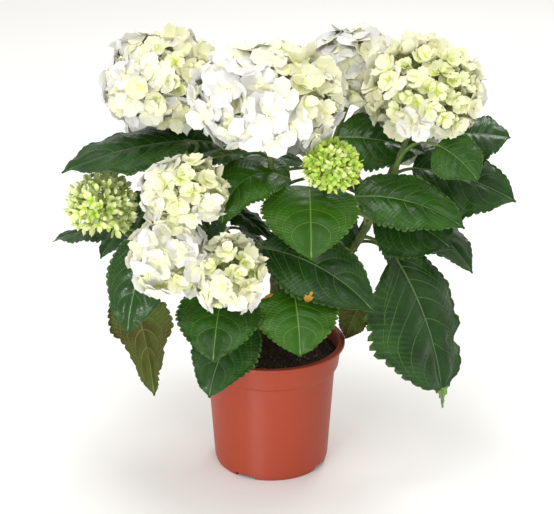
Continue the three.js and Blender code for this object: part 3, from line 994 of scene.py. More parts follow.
@dataclass(frozen=True)
class BladePlan:
    """The plan that is mapped onto every leaf: its grid, teeth, quilting and veins.

    A vein leaves the midrib nearly square to it and turns towards the tip, so that the outer veins
    run beside the edge. The skin sinks along veins and swells between them.

    Attributes:
        rows: Steps along the blade, three to a tooth.
        crowding: How far rows crowd at both ends and columns at the edge.
        tooth: Depth of a tooth, as a share of the half width.
        tooth_cut: The edge at the three steps of a tooth, in depths.
        tooth_push: How far a tooth points forward.
        tooth_lean: Share of that at its three steps.
        advance: How far it turns on towards the tip.
        slant: How far it leans towards the tip from the start.
        curl: Power of its turn.
        aspect: Half width over length, for distances in the plan.
        hub: Share of the blade where the hub is.
        slim: Share of a vein's width that is left at its end.
        crest: Height of a vein's middle and of its edges, in half widths.
        lift: How far a vein is raised, to clear the skin.
    """

    form: BladeForm
    rows: int = 57
    columns: int = 18
    crowding: Span = (0.05, 0.28)
    tooth: float = 0.053
    tooth_cut: Point = (-0.8, 0.5, 0.6)
    tooth_push: float = 0.016
    tooth_lean: Point = (0.0, 0.1, 0.45)
    tooth_hold: int = 8
    starts: tuple[float, ...] = (0.015, 0.07, 0.16, 0.28, 0.42, 0.58)
    reach: tuple[float, ...] = (0.74, 0.84, 0.86, 0.84, 0.78, 0.68)
    advance: tuple[float, ...] = (0.2, 0.24, 0.24, 0.2, 0.16, 0.1)
    slant: tuple[float, ...] = (0.12, 0.16, 0.2, 0.22, 0.2, 0.17)
    curl: float = 0.9
    ends: Span = (0.97, 0.96)
    aspect: float = 0.34
    valley: float = 0.042
    spokes: int = 23
    hub: float = 0.3
    spoke_rise: float = 0.11
    vein_steps: int = 14
    rib_width: float = 0.0068
    vein_width: float = 0.0038
    slim: float = 0.2
    crest: Span = (0.6, -0.1)
    lift: float = 0.0012

    def grid(self) -> tuple[np.ndarray, np.ndarray]:
        """Gives the plain grid of shares along and across."""
        ends, edge = self.crowding
        t = np.linspace(0, 1, self.rows + 1)
        s = t - ends * np.sin(2 * math.pi * t)
        v = np.linspace(-1, 1, self.columns + 1)
        return np.meshgrid(s, v * (1 - edge + edge * np.abs(v)), indexing="ij")

    def toothed(self) -> tuple[np.ndarray, np.ndarray]:
        """Gives the grid with its edge cut into forward-pointing teeth."""
        s, v = self.grid()
        step = np.arange(self.rows + 1) % 3
        cut = np.array(self.tooth_cut)[step] * self.tooth * faded(s[:, 0], 0.12, 0.08)
        push = np.array(self.tooth_lean)[step] * self.tooth_push
        edge = np.abs(v) ** self.tooth_hold
        return np.clip(s + push[:, None] * edge, 0, 1), v * (1 + cut[:, None] * edge)

    def veins(self) -> list[np.ndarray]:
        """Gives the midrib and side veins as rows of (along, across) shares."""
        rib_end, vein_end = self.ends
        turn = np.linspace(0, 1, self.vein_steps + 1) * math.pi / 2
        lines = [np.stack([np.linspace(0, rib_end, 25), np.zeros(25)], axis=1)]
        for start, reach, advance, slant in zip(self.starts, self.reach, self.advance, self.slant):
            across = reach * np.sin(turn) ** self.curl
            along = start + advance * (1 - np.cos(turn)) + slant * turn / (math.pi / 2)
            along = np.minimum(along, vein_end)
            lines += [np.stack([along, across * side], axis=1) for side in (-1, 1)]
        return lines

    def flat(self, s: np.ndarray, v: np.ndarray) -> np.ndarray:
        """Gives plan distances, as shares of the blade's length."""
        return np.stack([s, v * self.form.half_width(s) * self.aspect], axis=-1)

    def relief(self) -> np.ndarray:
        """Gives the quilting's height at each point of the grid, from 0 in a vein to about 1."""
        s, v = self.grid()
        here = self.flat(s, v)
        nearest = np.full(s.shape, 9.0)
        for line in self.veins():
            fine = np.linspace(0, len(line) - 1, 40)
            path = [np.interp(fine, np.arange(len(line)), line[:, k]) for k in (0, 1)]
            gap = np.linalg.norm(here[:, :, None, :] - self.flat(*path), axis=-1).min(axis=-1)
            nearest = np.minimum(nearest, gap)
        swell = 1 - np.exp(-((nearest / self.valley) ** 2))
        turn = np.arctan2(here[..., 1], here[..., 0] - self.hub)
        ladder = np.abs(np.sin(self.spokes * turn)) * np.clip(np.abs(v) * 1.6, 0, 1)
        calm = (1 - 0.75 * np.abs(v) ** 6) * faded(s, 0.08, 0.12)
        return (swell + self.spoke_rise * ladder * swell) * calm

    def strips(self) -> tuple[np.ndarray, np.ndarray, np.ndarray, int]:
        """Lays a ridged strip on each vein.

        Returns:
            Shares along and across for each point, how far each point stands up as a share of the
            blade's length, the strips' faces, and the number of the midrib's faces, which come first.
        """
        spots, heights, faces, start = [], [], [], 0
        middle, edge = self.crest
        for number, line in enumerate(self.veins()):
            wide = self.vein_width if number else self.rib_width
            path = self.flat(line[:, 0], line[:, 1])
            heading = unit(np.gradient(path, axis=0))
            square = np.stack([-heading[:, 1], heading[:, 0]], axis=1)
            half = wide * np.linspace(1, self.slim, len(line))[:, None]
            for offset in (-1, 0, 1):
                spots.append(path + square * half * offset)
                heights.append(half[:, 0] * (edge if offset else middle) + self.lift)
            faces.append(sheet_faces(3, len(line), flip=True) + start)
            start += 3 * len(line)
        plan = np.concatenate(spots)
        s = np.clip(plan[:, 0], 0, 0.985)
        v = plan[:, 1] / (np.maximum(self.form.half_width(s), 0.04) * self.aspect)
        spots = np.stack([s, np.clip(v, -0.95, 0.95)], axis=1)
        return spots, np.concatenate(heights), np.concatenate(faces), len(faces[0])


@dataclass(frozen=True)
class BladeMaker:
    """Maps the plan onto leaves, and gives each blade and its veins as patches.

    Attributes:
        ragged: How deep a torn edge is frayed, as a share of what is lost.
        fray: How close the frays are, in radians over the blade.
        ripple_rise: Their height, in waves.
        scorch: How far in a scorched spot reaches.
        under_rise: How far the lower skin's veins stand out, in those of the upper skin.
    """

    form: BladeForm
    plan: BladePlan
    ragged: float = 0.15
    fray: float = 420.0
    waves: Span = (2.2, 4.2)
    ripples: int = 9
    ripple_rise: float = 0.25
    wave_hold: float = 2.5
    scorch: float = 0.22
    under_rise: float = 1.6

    @cached_property
    def shares(self) -> tuple[np.ndarray, np.ndarray]:
        """Gives the toothed grid's shares along and across."""
        return self.plan.toothed()

    @cached_property
    def relief(self) -> np.ndarray:
        """Gives the quilting's height over the grid."""
        return self.plan.relief()

    @cached_property
    def strips(self) -> tuple[np.ndarray, np.ndarray, np.ndarray, int]:
        """Gives the veins' strips."""
        return self.plan.strips()

    @cached_property
    def cells(self) -> tuple[np.ndarray, np.ndarray, np.ndarray, np.ndarray]:
        """Gives the grid's face that each point of the veins is on, and its place on that face."""
        s, v = self.plan.grid()
        spots = self.strips[0]
        row = np.interp(spots[:, 0], s[:, 0], np.arange(self.plan.rows + 1))
        column = np.interp(spots[:, 1], v[0], np.arange(self.plan.columns + 1))
        i = np.minimum(row.astype(int), self.plan.rows - 1)
        j = np.minimum(column.astype(int), self.plan.columns - 1)
        return i, j, (row - i)[:, None], (column - j)[:, None]

    def skin(self, leaf: Leaf, seed: int) -> np.ndarray:
        """Gives the upper skin's points, with the leaf's own waves, quilting and lost edge.

        Args:
            leaf: The leaf.
            seed: Seed of its waves.

        Returns:
            Points in rows along the blade and columns across it.
        """
        rng = np.random.default_rng(seed)
        s, v = self.shares
        for place, side, depth, length in leaf.bites:
            lost = depth * np.exp(-(((s - place) / length) ** 4))
            torn = 1 - self.ragged + self.ragged * np.cos(s * self.fray) * (depth > 0)
            v = np.where(v * side > 0, v * (1 - lost * torn), v)
        points = self.form.surface(leaf, s, v, fine=True)
        _, _, up = self.form.frame(leaf, s)
        phase = rng.uniform(0, 2 * math.pi, 4)
        right, left = (
            np.sin(2 * math.pi * rate * s + start) for rate, start in zip(rng.uniform(*self.waves, 2), phase)
        )
        small = np.sin(2 * math.pi * self.ripples * s + phase[2]) * self.ripple_rise
        edge = np.abs(v) ** self.wave_hold * faded(s, 0.15, 0.1)
        wave = self.form.wave * (np.where(v > 0, right, left) + small) * edge
        quilt = self.form.quilt * leaf.size[0] * self.relief
        return points + up * (wave + quilt)[..., None]

    def blade(self, leaf: Leaf, upper: np.ndarray, finishes: Sequence[int]) -> Patch:
        """Gives a closed blade of two skins.

        Args:
            leaf: The leaf.
            upper: Points of the upper skin.
            finishes: Finish numbers of the upper skin, the lower skin, scorched edge and pale tip.

        Returns:
            The blade.
        """
        rows, columns = upper.shape[:2]
        lower = upper - self.normals(upper) * self.form.thickness
        count = rows * columns
        top = sheet_faces(rows, columns)
        number = np.arange(count).reshape(rows, columns)
        rim = np.concatenate([number[:, 0], number[-1, 1:], number[-2::-1, -1], number[0, -2:0:-1]])
        after = np.roll(rim, -1)
        wall = np.stack([after, after + count, rim + count, rim], axis=1)
        bottom = np.roll(top[:, ::-1], 1, axis=1) + count
        over, under, scorched, pale = finishes
        shares = np.stack([*self.shares, np.zeros_like(upper[..., 0])], axis=-1).reshape(-1, 3)
        s, v, _ = shares[top].mean(axis=1).T
        dealt = np.full(len(top), over)
        for place, side, length in leaf.spots:
            far = ((s - place) / length) ** 2 + ((v - side) / self.scorch) ** 2
            dealt[far < 1] = scorched
        dealt[s > leaf.pale_from] = pale
        finish = np.concatenate([dealt, np.full(len(bottom), under), np.full(len(wall), over)])
        points = np.concatenate([upper.reshape(-1, 3), lower.reshape(-1, 3)])
        return Patch(points, np.concatenate([top, bottom, wall]), finish, np.concatenate([shares, shares]))

    def normals(self, grid: np.ndarray) -> np.ndarray:
        """Gives unit normals of a skin at its points."""
        return unit(np.cross(np.gradient(grid, axis=0), np.gradient(grid, axis=1)))

    def veins(self, leaf: Leaf, upper: np.ndarray, below: bool, finish: int) -> Patch:
        """Gives the raised veins of one skin.

        Args:
            leaf: The leaf.
            upper: Points of the upper skin.
            below: True for the lower skin's stouter veins.
            finish: Finish number of the midrib; the side veins have the next one.

        Returns:
            The veins.
        """
        _, heights, faces, rib_faces = self.strips
        outward = self.normals(upper)
        skin = self.mix(upper - outward * (self.form.thickness if below else 0.0))
        rise = heights * leaf.size[0] * (-self.under_rise if below else 1.0)
        points = skin + unit(self.mix(outward)) * rise[:, None]
        faces = faces if below else faces[:, ::-1]
        return Patch(points, faces, finish + (np.arange(len(faces)) >= rib_faces))

    def mix(self, grid: np.ndarray) -> np.ndarray:
        """Reads a grid's values at the veins' points, on the two triangles of each of its faces."""
        i, j, u, w = self.cells
        near, far = grid[i, j], grid[i + 1, j + 1]
        first = near * (1 - u) + grid[i + 1, j] * (u - w) + far * w
        second = near * (1 - w) + grid[i, j + 1] * (w - u) + far * u
        return np.where(u >= w, first, second)


# The rule that grows leaves all round


@dataclass(frozen=True)
class LeafRule:
    """Crossed pairs of leaves on every shoot, each of which keeps clear of what is there.

    The sizes and the order of the random draws are those of the solids.
    """

    form: BladeForm
    seed: int = 2
    pairs: int = 6
    tries: int = 9
    shrink: float = 0.95
    first_pair: float = 0.03
    last_pair: float = 0.03
    jitter: float = 40
    stalk: Span = (24, 44)
    lift: Span = (15, 50)
    flatten: float = 0.6
    length: Span = (84, 116)
    slender: Span = (0.64, 0.74)
    top_rise: float = 14
    low_rise: float = -38
    droop: Span = (25, 60)
    roll: float = 16
    front_limit: float = -16
    lowest: float = 92
    reach: Span = (196, 168)
    clear: float = 11.5
    stem_clear: float = 8
    own_stem_clear: float = 4.5
    head_clear: float = 9
    pot_top: float = 138
    pot_room: float = 78
    stem_spots: int = 16
    stem_from: float = 0.1
    stalk_spots: tuple[float, ...] = (0.3, 0.45, 0.6, 0.75, 0.9)
    blade_spots: tuple[float, ...] = (0.06, 0.22, 0.4, 0.58, 0.76, 0.94)
    side_spots: tuple[float, ...] = (-0.9, -0.45, 0, 0.45, 0.9)

    def spots(self, curve: Bend, leaf: Leaf) -> np.ndarray:
        """Gives points spread over a leaf and the outer part of its stalk."""
        s, v = np.meshgrid(self.blade_spots, self.side_spots, indexing="ij")
        stalk = self.form.stalk(curve, leaf).at(np.array(self.stalk_spots))
        return np.vstack([stalk, self.form.surface(leaf, s, v).reshape(-1, 3)])

    def grow(self, shoots: Sequence[Shoot]) -> dict[str, list[Leaf]]:
        """Grows the leaves.

        Args:
            shoots: All shoots, with their listed leaves.

        Returns:
            The grown leaves of each shoot, by its name.
        """
        taken: list[Taken] = []
        for shoot in shoots:
            curve = shoot.curve()
            for leaf in shoot.leaves:
                taken.append((self.spots(curve, leaf), self.clear, ""))
            stem = self.stem_from + (1 - self.stem_from) * np.arange(self.stem_spots + 1) / self.stem_spots
            taken.append((curve.at(stem), self.stem_clear, shoot.name))
        heads = [head for shoot in shoots for head in shoot.heads]
        grown: dict[str, list[Leaf]] = {shoot.name: [] for shoot in shoots}
        for pair in reversed(range(self.pairs)):
            for order, shoot in enumerate(shoots):
                for side in range(2):
                    dice = Dice(self.seed + 100 * order + 10 * pair + side)
                    leaf = self.attempt(shoot, pair, side, dice, taken, heads)
                    if leaf:
                        grown[shoot.name].append(leaf)
                        taken.append((self.spots(shoot.curve(), leaf), self.clear, ""))
        return grown

    def attempt(
        self, shoot: Shoot, pair: int, side: int, dice: Dice, taken: Sequence[Taken], heads: Sequence[Head]
    ) -> Leaf | None:
        """Tries a few leaves at one side of a pair.

        Args:
            shoot: The shoot that carries the pair.
            pair: Number of the pair, from the lowest.
            side: 0 or 1.
            dice: The place's own random numbers.
            taken: What is there.
            heads: All flower heads.

        Returns:
            The first leaf that fits, or nothing.
        """
        curve = shoot.curve()
        height = pair / (self.pairs - 1)
        first = shoot.bare + self.first_pair
        at = first + (shoot.leafy - self.last_pair - first) * height
        for number in range(self.tries):
            heading = shoot.turn + 90 * pair + 180 * side + self.jitter * (2 * dice.roll() - 1)
            stalk = dice.between(self.stalk)
            lift = math.radians(dice.between(self.lift) * (1 - self.flatten * height))
            length = dice.between(self.length) * self.shrink**number
            width = length * dice.between(self.slender)
            rise = self.low_rise + (self.top_rise - self.low_rise) * height
            droop = dice.between(self.droop)
            tilt = self.roll * (2 * dice.roll() - 1)
            yaw = math.radians(heading)
            away = np.array([math.cos(yaw) * math.cos(lift), math.sin(yaw) * math.cos(lift), math.sin(lift)])
            base = tuple(curve.at(at) + away * stalk)
            tone = (DEEP, DEEP, MIDDLE)[(pair + side) % 3]
            leaf = Leaf(at, base, (heading, rise), (length, width), droop, tilt, tone=tone)
            if self.fits(self.spots(curve, leaf), shoot, taken, heads):
                return leaf
        return None

    def fits(
        self, spots: np.ndarray, shoot: Shoot, taken: Sequence[Taken], heads: Sequence[Head]
    ) -> bool:
        """Tells whether a leaf stays in the crown's space and clear of everything in it.

        Args:
            spots: Points of the leaf.
            shoot: The shoot that it grows on.
            taken: What is there.
            heads: All flower heads.

        Returns:
            True if it fits.
        """
        x, y, z = spots.T
        if (y < self.front_limit).any() or (z < self.lowest).any():
            return False
        if ((x / self.reach[0]) ** 2 + (y / self.reach[1]) ** 2 > 1).any():
            return False
        if ((z < self.pot_top) & (np.hypot(x, y) < self.pot_room)).any():
            return False
        for head in heads:
            inside = (spots - np.array(head.centre)) / (np.array(head.radius) + self.head_clear)
            if (np.linalg.norm(inside, axis=1) < 1).any():
                return False
        for points, room, owner in taken:
            room = self.own_stem_clear if owner == shoot.name else room
            if (np.linalg.norm(points[:, None] - spots, axis=-1) <= room).any():
                return False
        return True


# Geometry Nodes


def new_group(name: str, inputs: dict[str, str]) -> tuple[Tree, Sequence[Socket], Node]:
    """Starts a Geometry Nodes tree.

    Args:
        name: The tree's name.
        inputs: Input names, to their kinds.

    Returns:
        The tree, its inputs by name, and its group output.
    """
    tree = bpy.data.node_groups.new(name, "GeometryNodeTree")
    for label, kind in {"Geometry": "Geometry", **inputs}.items():
        tree.interface.new_socket(name=label, in_out="INPUT", socket_type=f"NodeSocket{kind}")
    tree.interface.new_socket(name="Geometry", in_out="OUTPUT", socket_type="NodeSocketGeometry")
    return tree, tree.nodes.new("NodeGroupInput").outputs, tree.nodes.new("NodeGroupOutput")


def run_group(obj: Piece, tree: Tree, values: dict[str, object]) -> Piece:
    """Runs a tree once on an object and keeps the result as its plain mesh.

    Args:
        obj: The object whose mesh goes in.
        tree: The tree.
        values: Input names, to their values.

    Returns:
        The same object with its new mesh.
    """
    modifier = obj.modifiers.new(tree.name, "NODES")
    modifier.node_group = tree
    for item in tree.interface.items_tree:
        if item.in_out == "INPUT" and item.name in values:
            modifier[item.identifier] = values[item.name]
    graph = bpy.context.evaluated_depsgraph_get()
    made = bpy.data.meshes.new_from_object(obj.evaluated_get(graph), depsgraph=graph)
    obj.modifiers.remove(modifier)
    before = obj.data
    obj.data = made
    bpy.data.meshes.remove(before)
    made.name = obj.name
    return obj


def floret_group(finishes: int) -> Tree:
    """Makes the tree that sets a floret on each point and gives its parts their colours.

    Args:
        finishes: How many materials the ladder of sepal colours has.

    Returns:
        The tree.
    """
    inputs = {"Florets": "Collection", "Smallest": "Float", "Largest": "Float", "Seed": "Int"}
    inputs.update({f"Finish {k}": "Material" for k in range(finishes)})
    tree, given, result = new_group("florets_on_stalks", inputs)

    def read(name: str, kind: str) -> Node:
        """Reads one of the points' values."""
        return add_node(tree, "GeometryNodeInputNamedAttribute", {"Name": name}, data_type=kind)

    values = {"Collection": given["Florets"], "Separate Children": True, "Reset Children": True}
    shapes = add_node(tree, "GeometryNodeCollectionInfo", values)
    values = {"Vector": read("facing", "FLOAT_VECTOR")}
    faced = add_node(tree, "FunctionNodeAlignRotationToVector", values, axis="Z")
    values = {"Axis": (0, 0, 1), "Angle": read("spin", "FLOAT")}
    values = {"Rotation": faced, "Rotate By": add_node(tree, "FunctionNodeAxisAngleToRotation", values)}
    spun = add_node(tree, "FunctionNodeRotateRotation", values, rotation_space="LOCAL")
    values = {"Min": given["Smallest"], "Max": given["Largest"], "Seed": given["Seed"]}
    vary = add_node(tree, "FunctionNodeRandomValue", values, data_type="FLOAT")
    size = add_node(tree, "ShaderNodeMath", {0: read("size", "FLOAT"), 1: vary}, operation="MULTIPLY")
    values = {
        "Points": given["Geometry"],
        "Instance": shapes,
        "Pick Instance": True,
        "Instance Index": read("shape", "INT"),
        "Rotation": spun,
        "Scale": size,
    }
    placed = add_node(tree, "GeometryNodeInstanceOnPoints", values)
    whole = add_node(tree, "GeometryNodeRealizeInstances", {"Geometry": placed})
    values = {0: read("tone", "INT"), 1: read("zone", "INT")}
    part = add_node(tree, "FunctionNodeIntegerMath", values, operation="ADD")
    for k in range(finishes):
        values = {"A": part, "B": k}
        chosen = add_node(tree, "FunctionNodeCompare", values, data_type="INT", operation="EQUAL")
        values = {"Geometry": whole, "Selection": chosen, "Material": given[f"Finish {k}"]}
        whole = add_node(tree, "GeometryNodeSetMaterial", values)
    feed(result, {0: whole})
    return tree


CRUMB_INPUTS = {
    "Crumbs per m2": "Float",
    "Radius": "Float",
    "Flatness": "Float",
    "Second share": "Float",
    "Seed": "Int",
    "First": "Material",
    "Second": "Material",
}
# Least and greatest size of a crumb along its own x, y and z.
CRUMB_SIZES = {"Min": (0.4, 0.4, 0.3), "Max": (1.5, 1.1, 1.0)}


def crumb_group() -> Tree:
    """Makes the tree that strews crumbs over a surface, a few of them of a second sort."""
    tree, given, result = new_group("strewn_crumbs", CRUMB_INPUTS)
    seed = given["Seed"]
    values = {"Mesh": given["Geometry"], "Density": given["Crumbs per m2"], "Seed": seed}
    strewn = add_node(tree, "GeometryNodeDistributePointsOnFaces", values)
    sort = add_node(tree, "FunctionNodeRandomValue", {"Max": 1.0, "Seed": seed}, data_type="FLOAT")
    values = {"Geometry": strewn, "Name": "sort", "Value": sort}
    named = add_node(tree, "GeometryNodeStoreNamedAttribute", values, data_type="FLOAT", domain="POINT")
    values = {**CRUMB_SIZES, "Seed": seed}
    uneven = add_node(tree, "FunctionNodeRandomValue", values, data_type="FLOAT_VECTOR")
    flat = add_node(tree, "ShaderNodeCombineXYZ", {"X": 1.0, "Y": 1.0, "Z": given["Flatness"]})
    angle = add_node(tree, "FunctionNodeRandomValue", {"Max": 2 * math.pi, "Seed": seed}, data_type="FLOAT")
    spin = add_node(tree, "FunctionNodeAxisAngleToRotation", {"Axis": (0, 0, 1), "Angle": angle})
    values = {"Rotation": strewn.outputs["Rotation"], "Rotate By": spin}
    size = {"Radius": given["Radius"], "Subdivisions": 1}
    values = {
        "Points": named,
        "Instance": add_node(tree, "GeometryNodeMeshIcoSphere", size),
        "Rotation": add_node(tree, "FunctionNodeRotateRotation", values, rotation_space="LOCAL"),
        "Scale": add_node(tree, "ShaderNodeVectorMath", {0: uneven, 1: flat}, operation="MULTIPLY"),
    }
    placed = add_node(tree, "GeometryNodeInstanceOnPoints", values)
    whole = add_node(tree, "GeometryNodeRealizeInstances", {"Geometry": placed})
    first = add_node(tree, "GeometryNodeSetMaterial", {"Geometry": whole, "Material": given["First"]})
    read = add_node(tree, "GeometryNodeInputNamedAttribute", {"Name": "sort"}, data_type="FLOAT")
    values = {"A": read, "B": given["Second share"]}
    chosen = add_node(tree, "FunctionNodeCompare", values, data_type="FLOAT", operation="LESS_THAN")
    values = {"Geometry": first, "Selection": chosen, "Material": given["Second"]}
    feed(result, {0: add_node(tree, "GeometryNodeSetMaterial", values)})
    return tree


DRAINAGE_INPUTS = {
    "Holes": "Int",
    "Hole radius": "Float",
    "Hole ring": "Float",
    "Hole depth": "Float",
    "Hole sides": "Int",
    "Hole turn": "Vector",
    "Gaps": "Int",
    "Gap size": "Vector",
    "Gap ring": "Float",
    "Gap turn": "Vector",
    "Plastic": "Material",
}


def drainage_group() -> Tree:
    """Makes the tree that cuts round holes in the pot's floor and gaps in its foot ring."""
    tree, given, result = new_group("drainage", DRAINAGE_INPUTS)

    def ringed(sort: str, cutter: Node) -> Node:
        """Sets a cutter at even steps on the ring of its sort, each facing out."""
        values = {"Vertices": given[f"{sort}s"], "Radius": given[f"{sort} ring"]}
        circle = add_node(tree, "GeometryNodeMeshCircle", values)
        values = {"Vector": add_node(tree, "GeometryNodeInputPosition")}
        faced = add_node(tree, "FunctionNodeAlignRotationToVector", values, axis="X")
        values = {"Points": circle, "Instance": cutter, "Rotation": faced}
        placed = add_node(tree, "GeometryNodeInstanceOnPoints", values)
        whole = add_node(tree, "GeometryNodeRealizeInstances", {"Geometry": placed})
        turn = add_node(tree, "FunctionNodeEulerToRotation", {"Euler": given[f"{sort} turn"]})
        return add_node(tree, "GeometryNodeTransform", {"Geometry": whole, "Rotation": turn})

    values = {
        "Vertices": given["Hole sides"], "Radius": given["Hole radius"], "Depth": given["Hole depth"],
    }
    drill = add_node(tree, "GeometryNodeMeshCylinder", values)
    block = add_node(tree, "GeometryNodeMeshCube", {"Size": given["Gap size"]})
    values = {"Mesh 1": given["Geometry"]}
    cut = add_node(tree, "GeometryNodeMeshBoolean", values, operation="DIFFERENCE", solver="EXACT")
    feed(cut, {"Mesh 2": ringed("Hole", drill)})
    feed(cut, {"Mesh 2": ringed("Gap", block)})
    whole = add_node(tree, "GeometryNodeRealizeInstances", {"Geometry": cut})
    values = {"Geometry": whole, "Material": given["Plastic"]}
    feed(result, {0: add_node(tree, "GeometryNodeSetMaterial", values)})
    return tree


# Pot, soil and stool


def rounded(profile: Sequence[Span], radius: float, steps: int = 4) -> np.ndarray:
    """Rounds the corners of an outline.

    Args:
        profile: Corner points, open at both ends.
        radius: How far from a corner its rounding starts, at most.
        steps: Steps in each rounding.

    Returns:
        The outline's points.
    """
    corners = np.array(profile, float)
    line = [corners[0]]
    for before, corner, after in zip(corners, corners[1:], corners[2:]):
        back, ahead = before - corner, after - corner
        cut_back = min(radius, np.linalg.norm(back) * 0.45)
        cut_ahead = min(radius, np.linalg.norm(ahead) * 0.45)
        curve = Bend(corner + unit(back) * cut_back, corner, corner + unit(ahead) * cut_ahead)
        line.extend(curve.at(np.linspace(0, 1, steps + 1)))
    line.append(corners[-1])
    return np.array(line)


def turned(profile: np.ndarray, sides: int) -> Patch:
    """Makes a closed turned shape about the Z axis.

    Args:
        profile: Radius and height, from the axis to the axis.
        sides: Points round it.

    Returns:
        The shape.
    """
    angle = np.arange(sides) * (2 * math.pi / sides)
    middle = profile[1:-1]
    radius, height = middle[:, :1], middle[:, 1:]
    ring = np.stack([radius * np.cos(angle), radius * np.sin(angle), height * np.ones(sides)], axis=-1)
    points = np.vstack([ring.reshape(-1, 3), [0, 0, profile[0][1]], [0, 0, profile[-1][1]]])
    faces = sheet_faces(len(middle), sides, flip=True, wrap=True)
    first = np.arange(sides)
    last = first + (len(middle) - 1) * sides
    count = len(middle) * sides
    fan = np.full(sides, TRIANGLE)
    low = np.stack([np.roll(first, -1), first, np.full(sides, count), fan], axis=1)
    high = np.stack([last, np.roll(last, -1), np.full(sides, count + 1), fan], axis=1)
    return Patch(points, np.vstack([faces, low, high]))


@dataclass
class Pot:
    """The moulded pot. Drops are measured from the top of the rim, and the rest from the ground."""

    height: float = 124
    rim: float = 70
    lip: float = 4
    lip_slope: float = 0.6
    collar_top: float = 66.5
    collar_foot: float = 63.5
    collar_drop: float = 23
    shoulder: float = 60.5
    shoulder_drop: float = 28
    base: float = 54.5
    edge: float = 8
    edge_step: float = 1.2
    edge_rise: float = 2.8
    wall: float = 2.2
    floor: float = 2
    recess: float = 3
    disc: float = 20
    ring_inner: float = 44
    ring_outer: float = 51.4
    sides: int = 160
    holes: int = 8
    hole_radius: float = 4.5
    hole_ring: float = 32
    gaps: int = 4
    gap_first: float = -118
    gap_arc: float = 22
    gap_height: float = 4.6
    hole_turn: float = 22.5
    hole_sides: int = 32
    bead: float = 0.5
    corner: float = 1.1
    sharp: float = 35
    plastic: MouldedPolypropylene = MouldedPolypropylene("polypropylene_terracotta", "#9c3412")

    def profile(self) -> np.ndarray:
        """Gives the pot's section from the middle of its underside round to the middle of its floor."""
        foot, step = self.height - self.collar_drop, self.height - self.shoulder_drop
        outside = [
            (0, 0),
            (self.disc, 0),
            (self.disc + 1, self.recess),
            (self.ring_inner, self.recess),
            (self.ring_inner + 1, 0),
            (self.ring_outer, 0),
            (self.base - self.edge_step, self.edge_rise),
            (self.base, self.edge),
            (self.shoulder, step),
            (self.shoulder + 0.4, step + 3),
            (self.collar_foot + self.bead, foot),
            (self.collar_top, self.height - self.lip),
            (self.rim, self.height - self.lip + self.lip_slope),
            (self.rim, self.height),
        ]
        inside = [
            (self.collar_top - self.wall, self.height),
            (self.collar_foot - self.wall, foot),
            (self.shoulder - self.wall, step - 1),
            (self.base - self.wall, self.edge + 1),
            (self.ring_outer - 1, self.recess + self.floor),
            (0, self.recess + self.floor),
        ]
        return rounded(outside + inside, self.corner)

    def build(self) -> None:
        """Makes the pot with its drainage holes and foot gaps."""
        plastic = self.plastic.material()
        pot = make_piece("pot_body", [turned(self.profile(), self.sides)], [plastic])
        wide = 2 * self.ring_outer * math.tan(math.radians(self.gap_arc / 2))
        deep = self.base - self.ring_inner + 6
        values = {
            "Holes": self.holes,
            "Hole radius": self.hole_radius * MM,
            "Hole ring": self.hole_ring * MM,
            "Hole depth": 4 * self.recess * MM,
            "Hole sides": self.hole_sides,
            "Hole turn": Vector((0, 0, math.radians(self.hole_turn))),
            "Gaps": self.gaps,
            "Gap size": Vector((deep, wide, 2 * self.gap_height)) * MM,
            "Gap ring": (self.ring_inner - 2 + deep / 2) * MM,
            "Gap turn": Vector((0, 0, math.radians(self.gap_first))),
            "Plastic": plastic,
        }
        run_group(pot, drainage_group(), values)
        pot.data.shade_smooth()
        pot.data.set_sharp_from_angle(angle=math.radians(self.sharp))
        settle(pot, ["pot"])


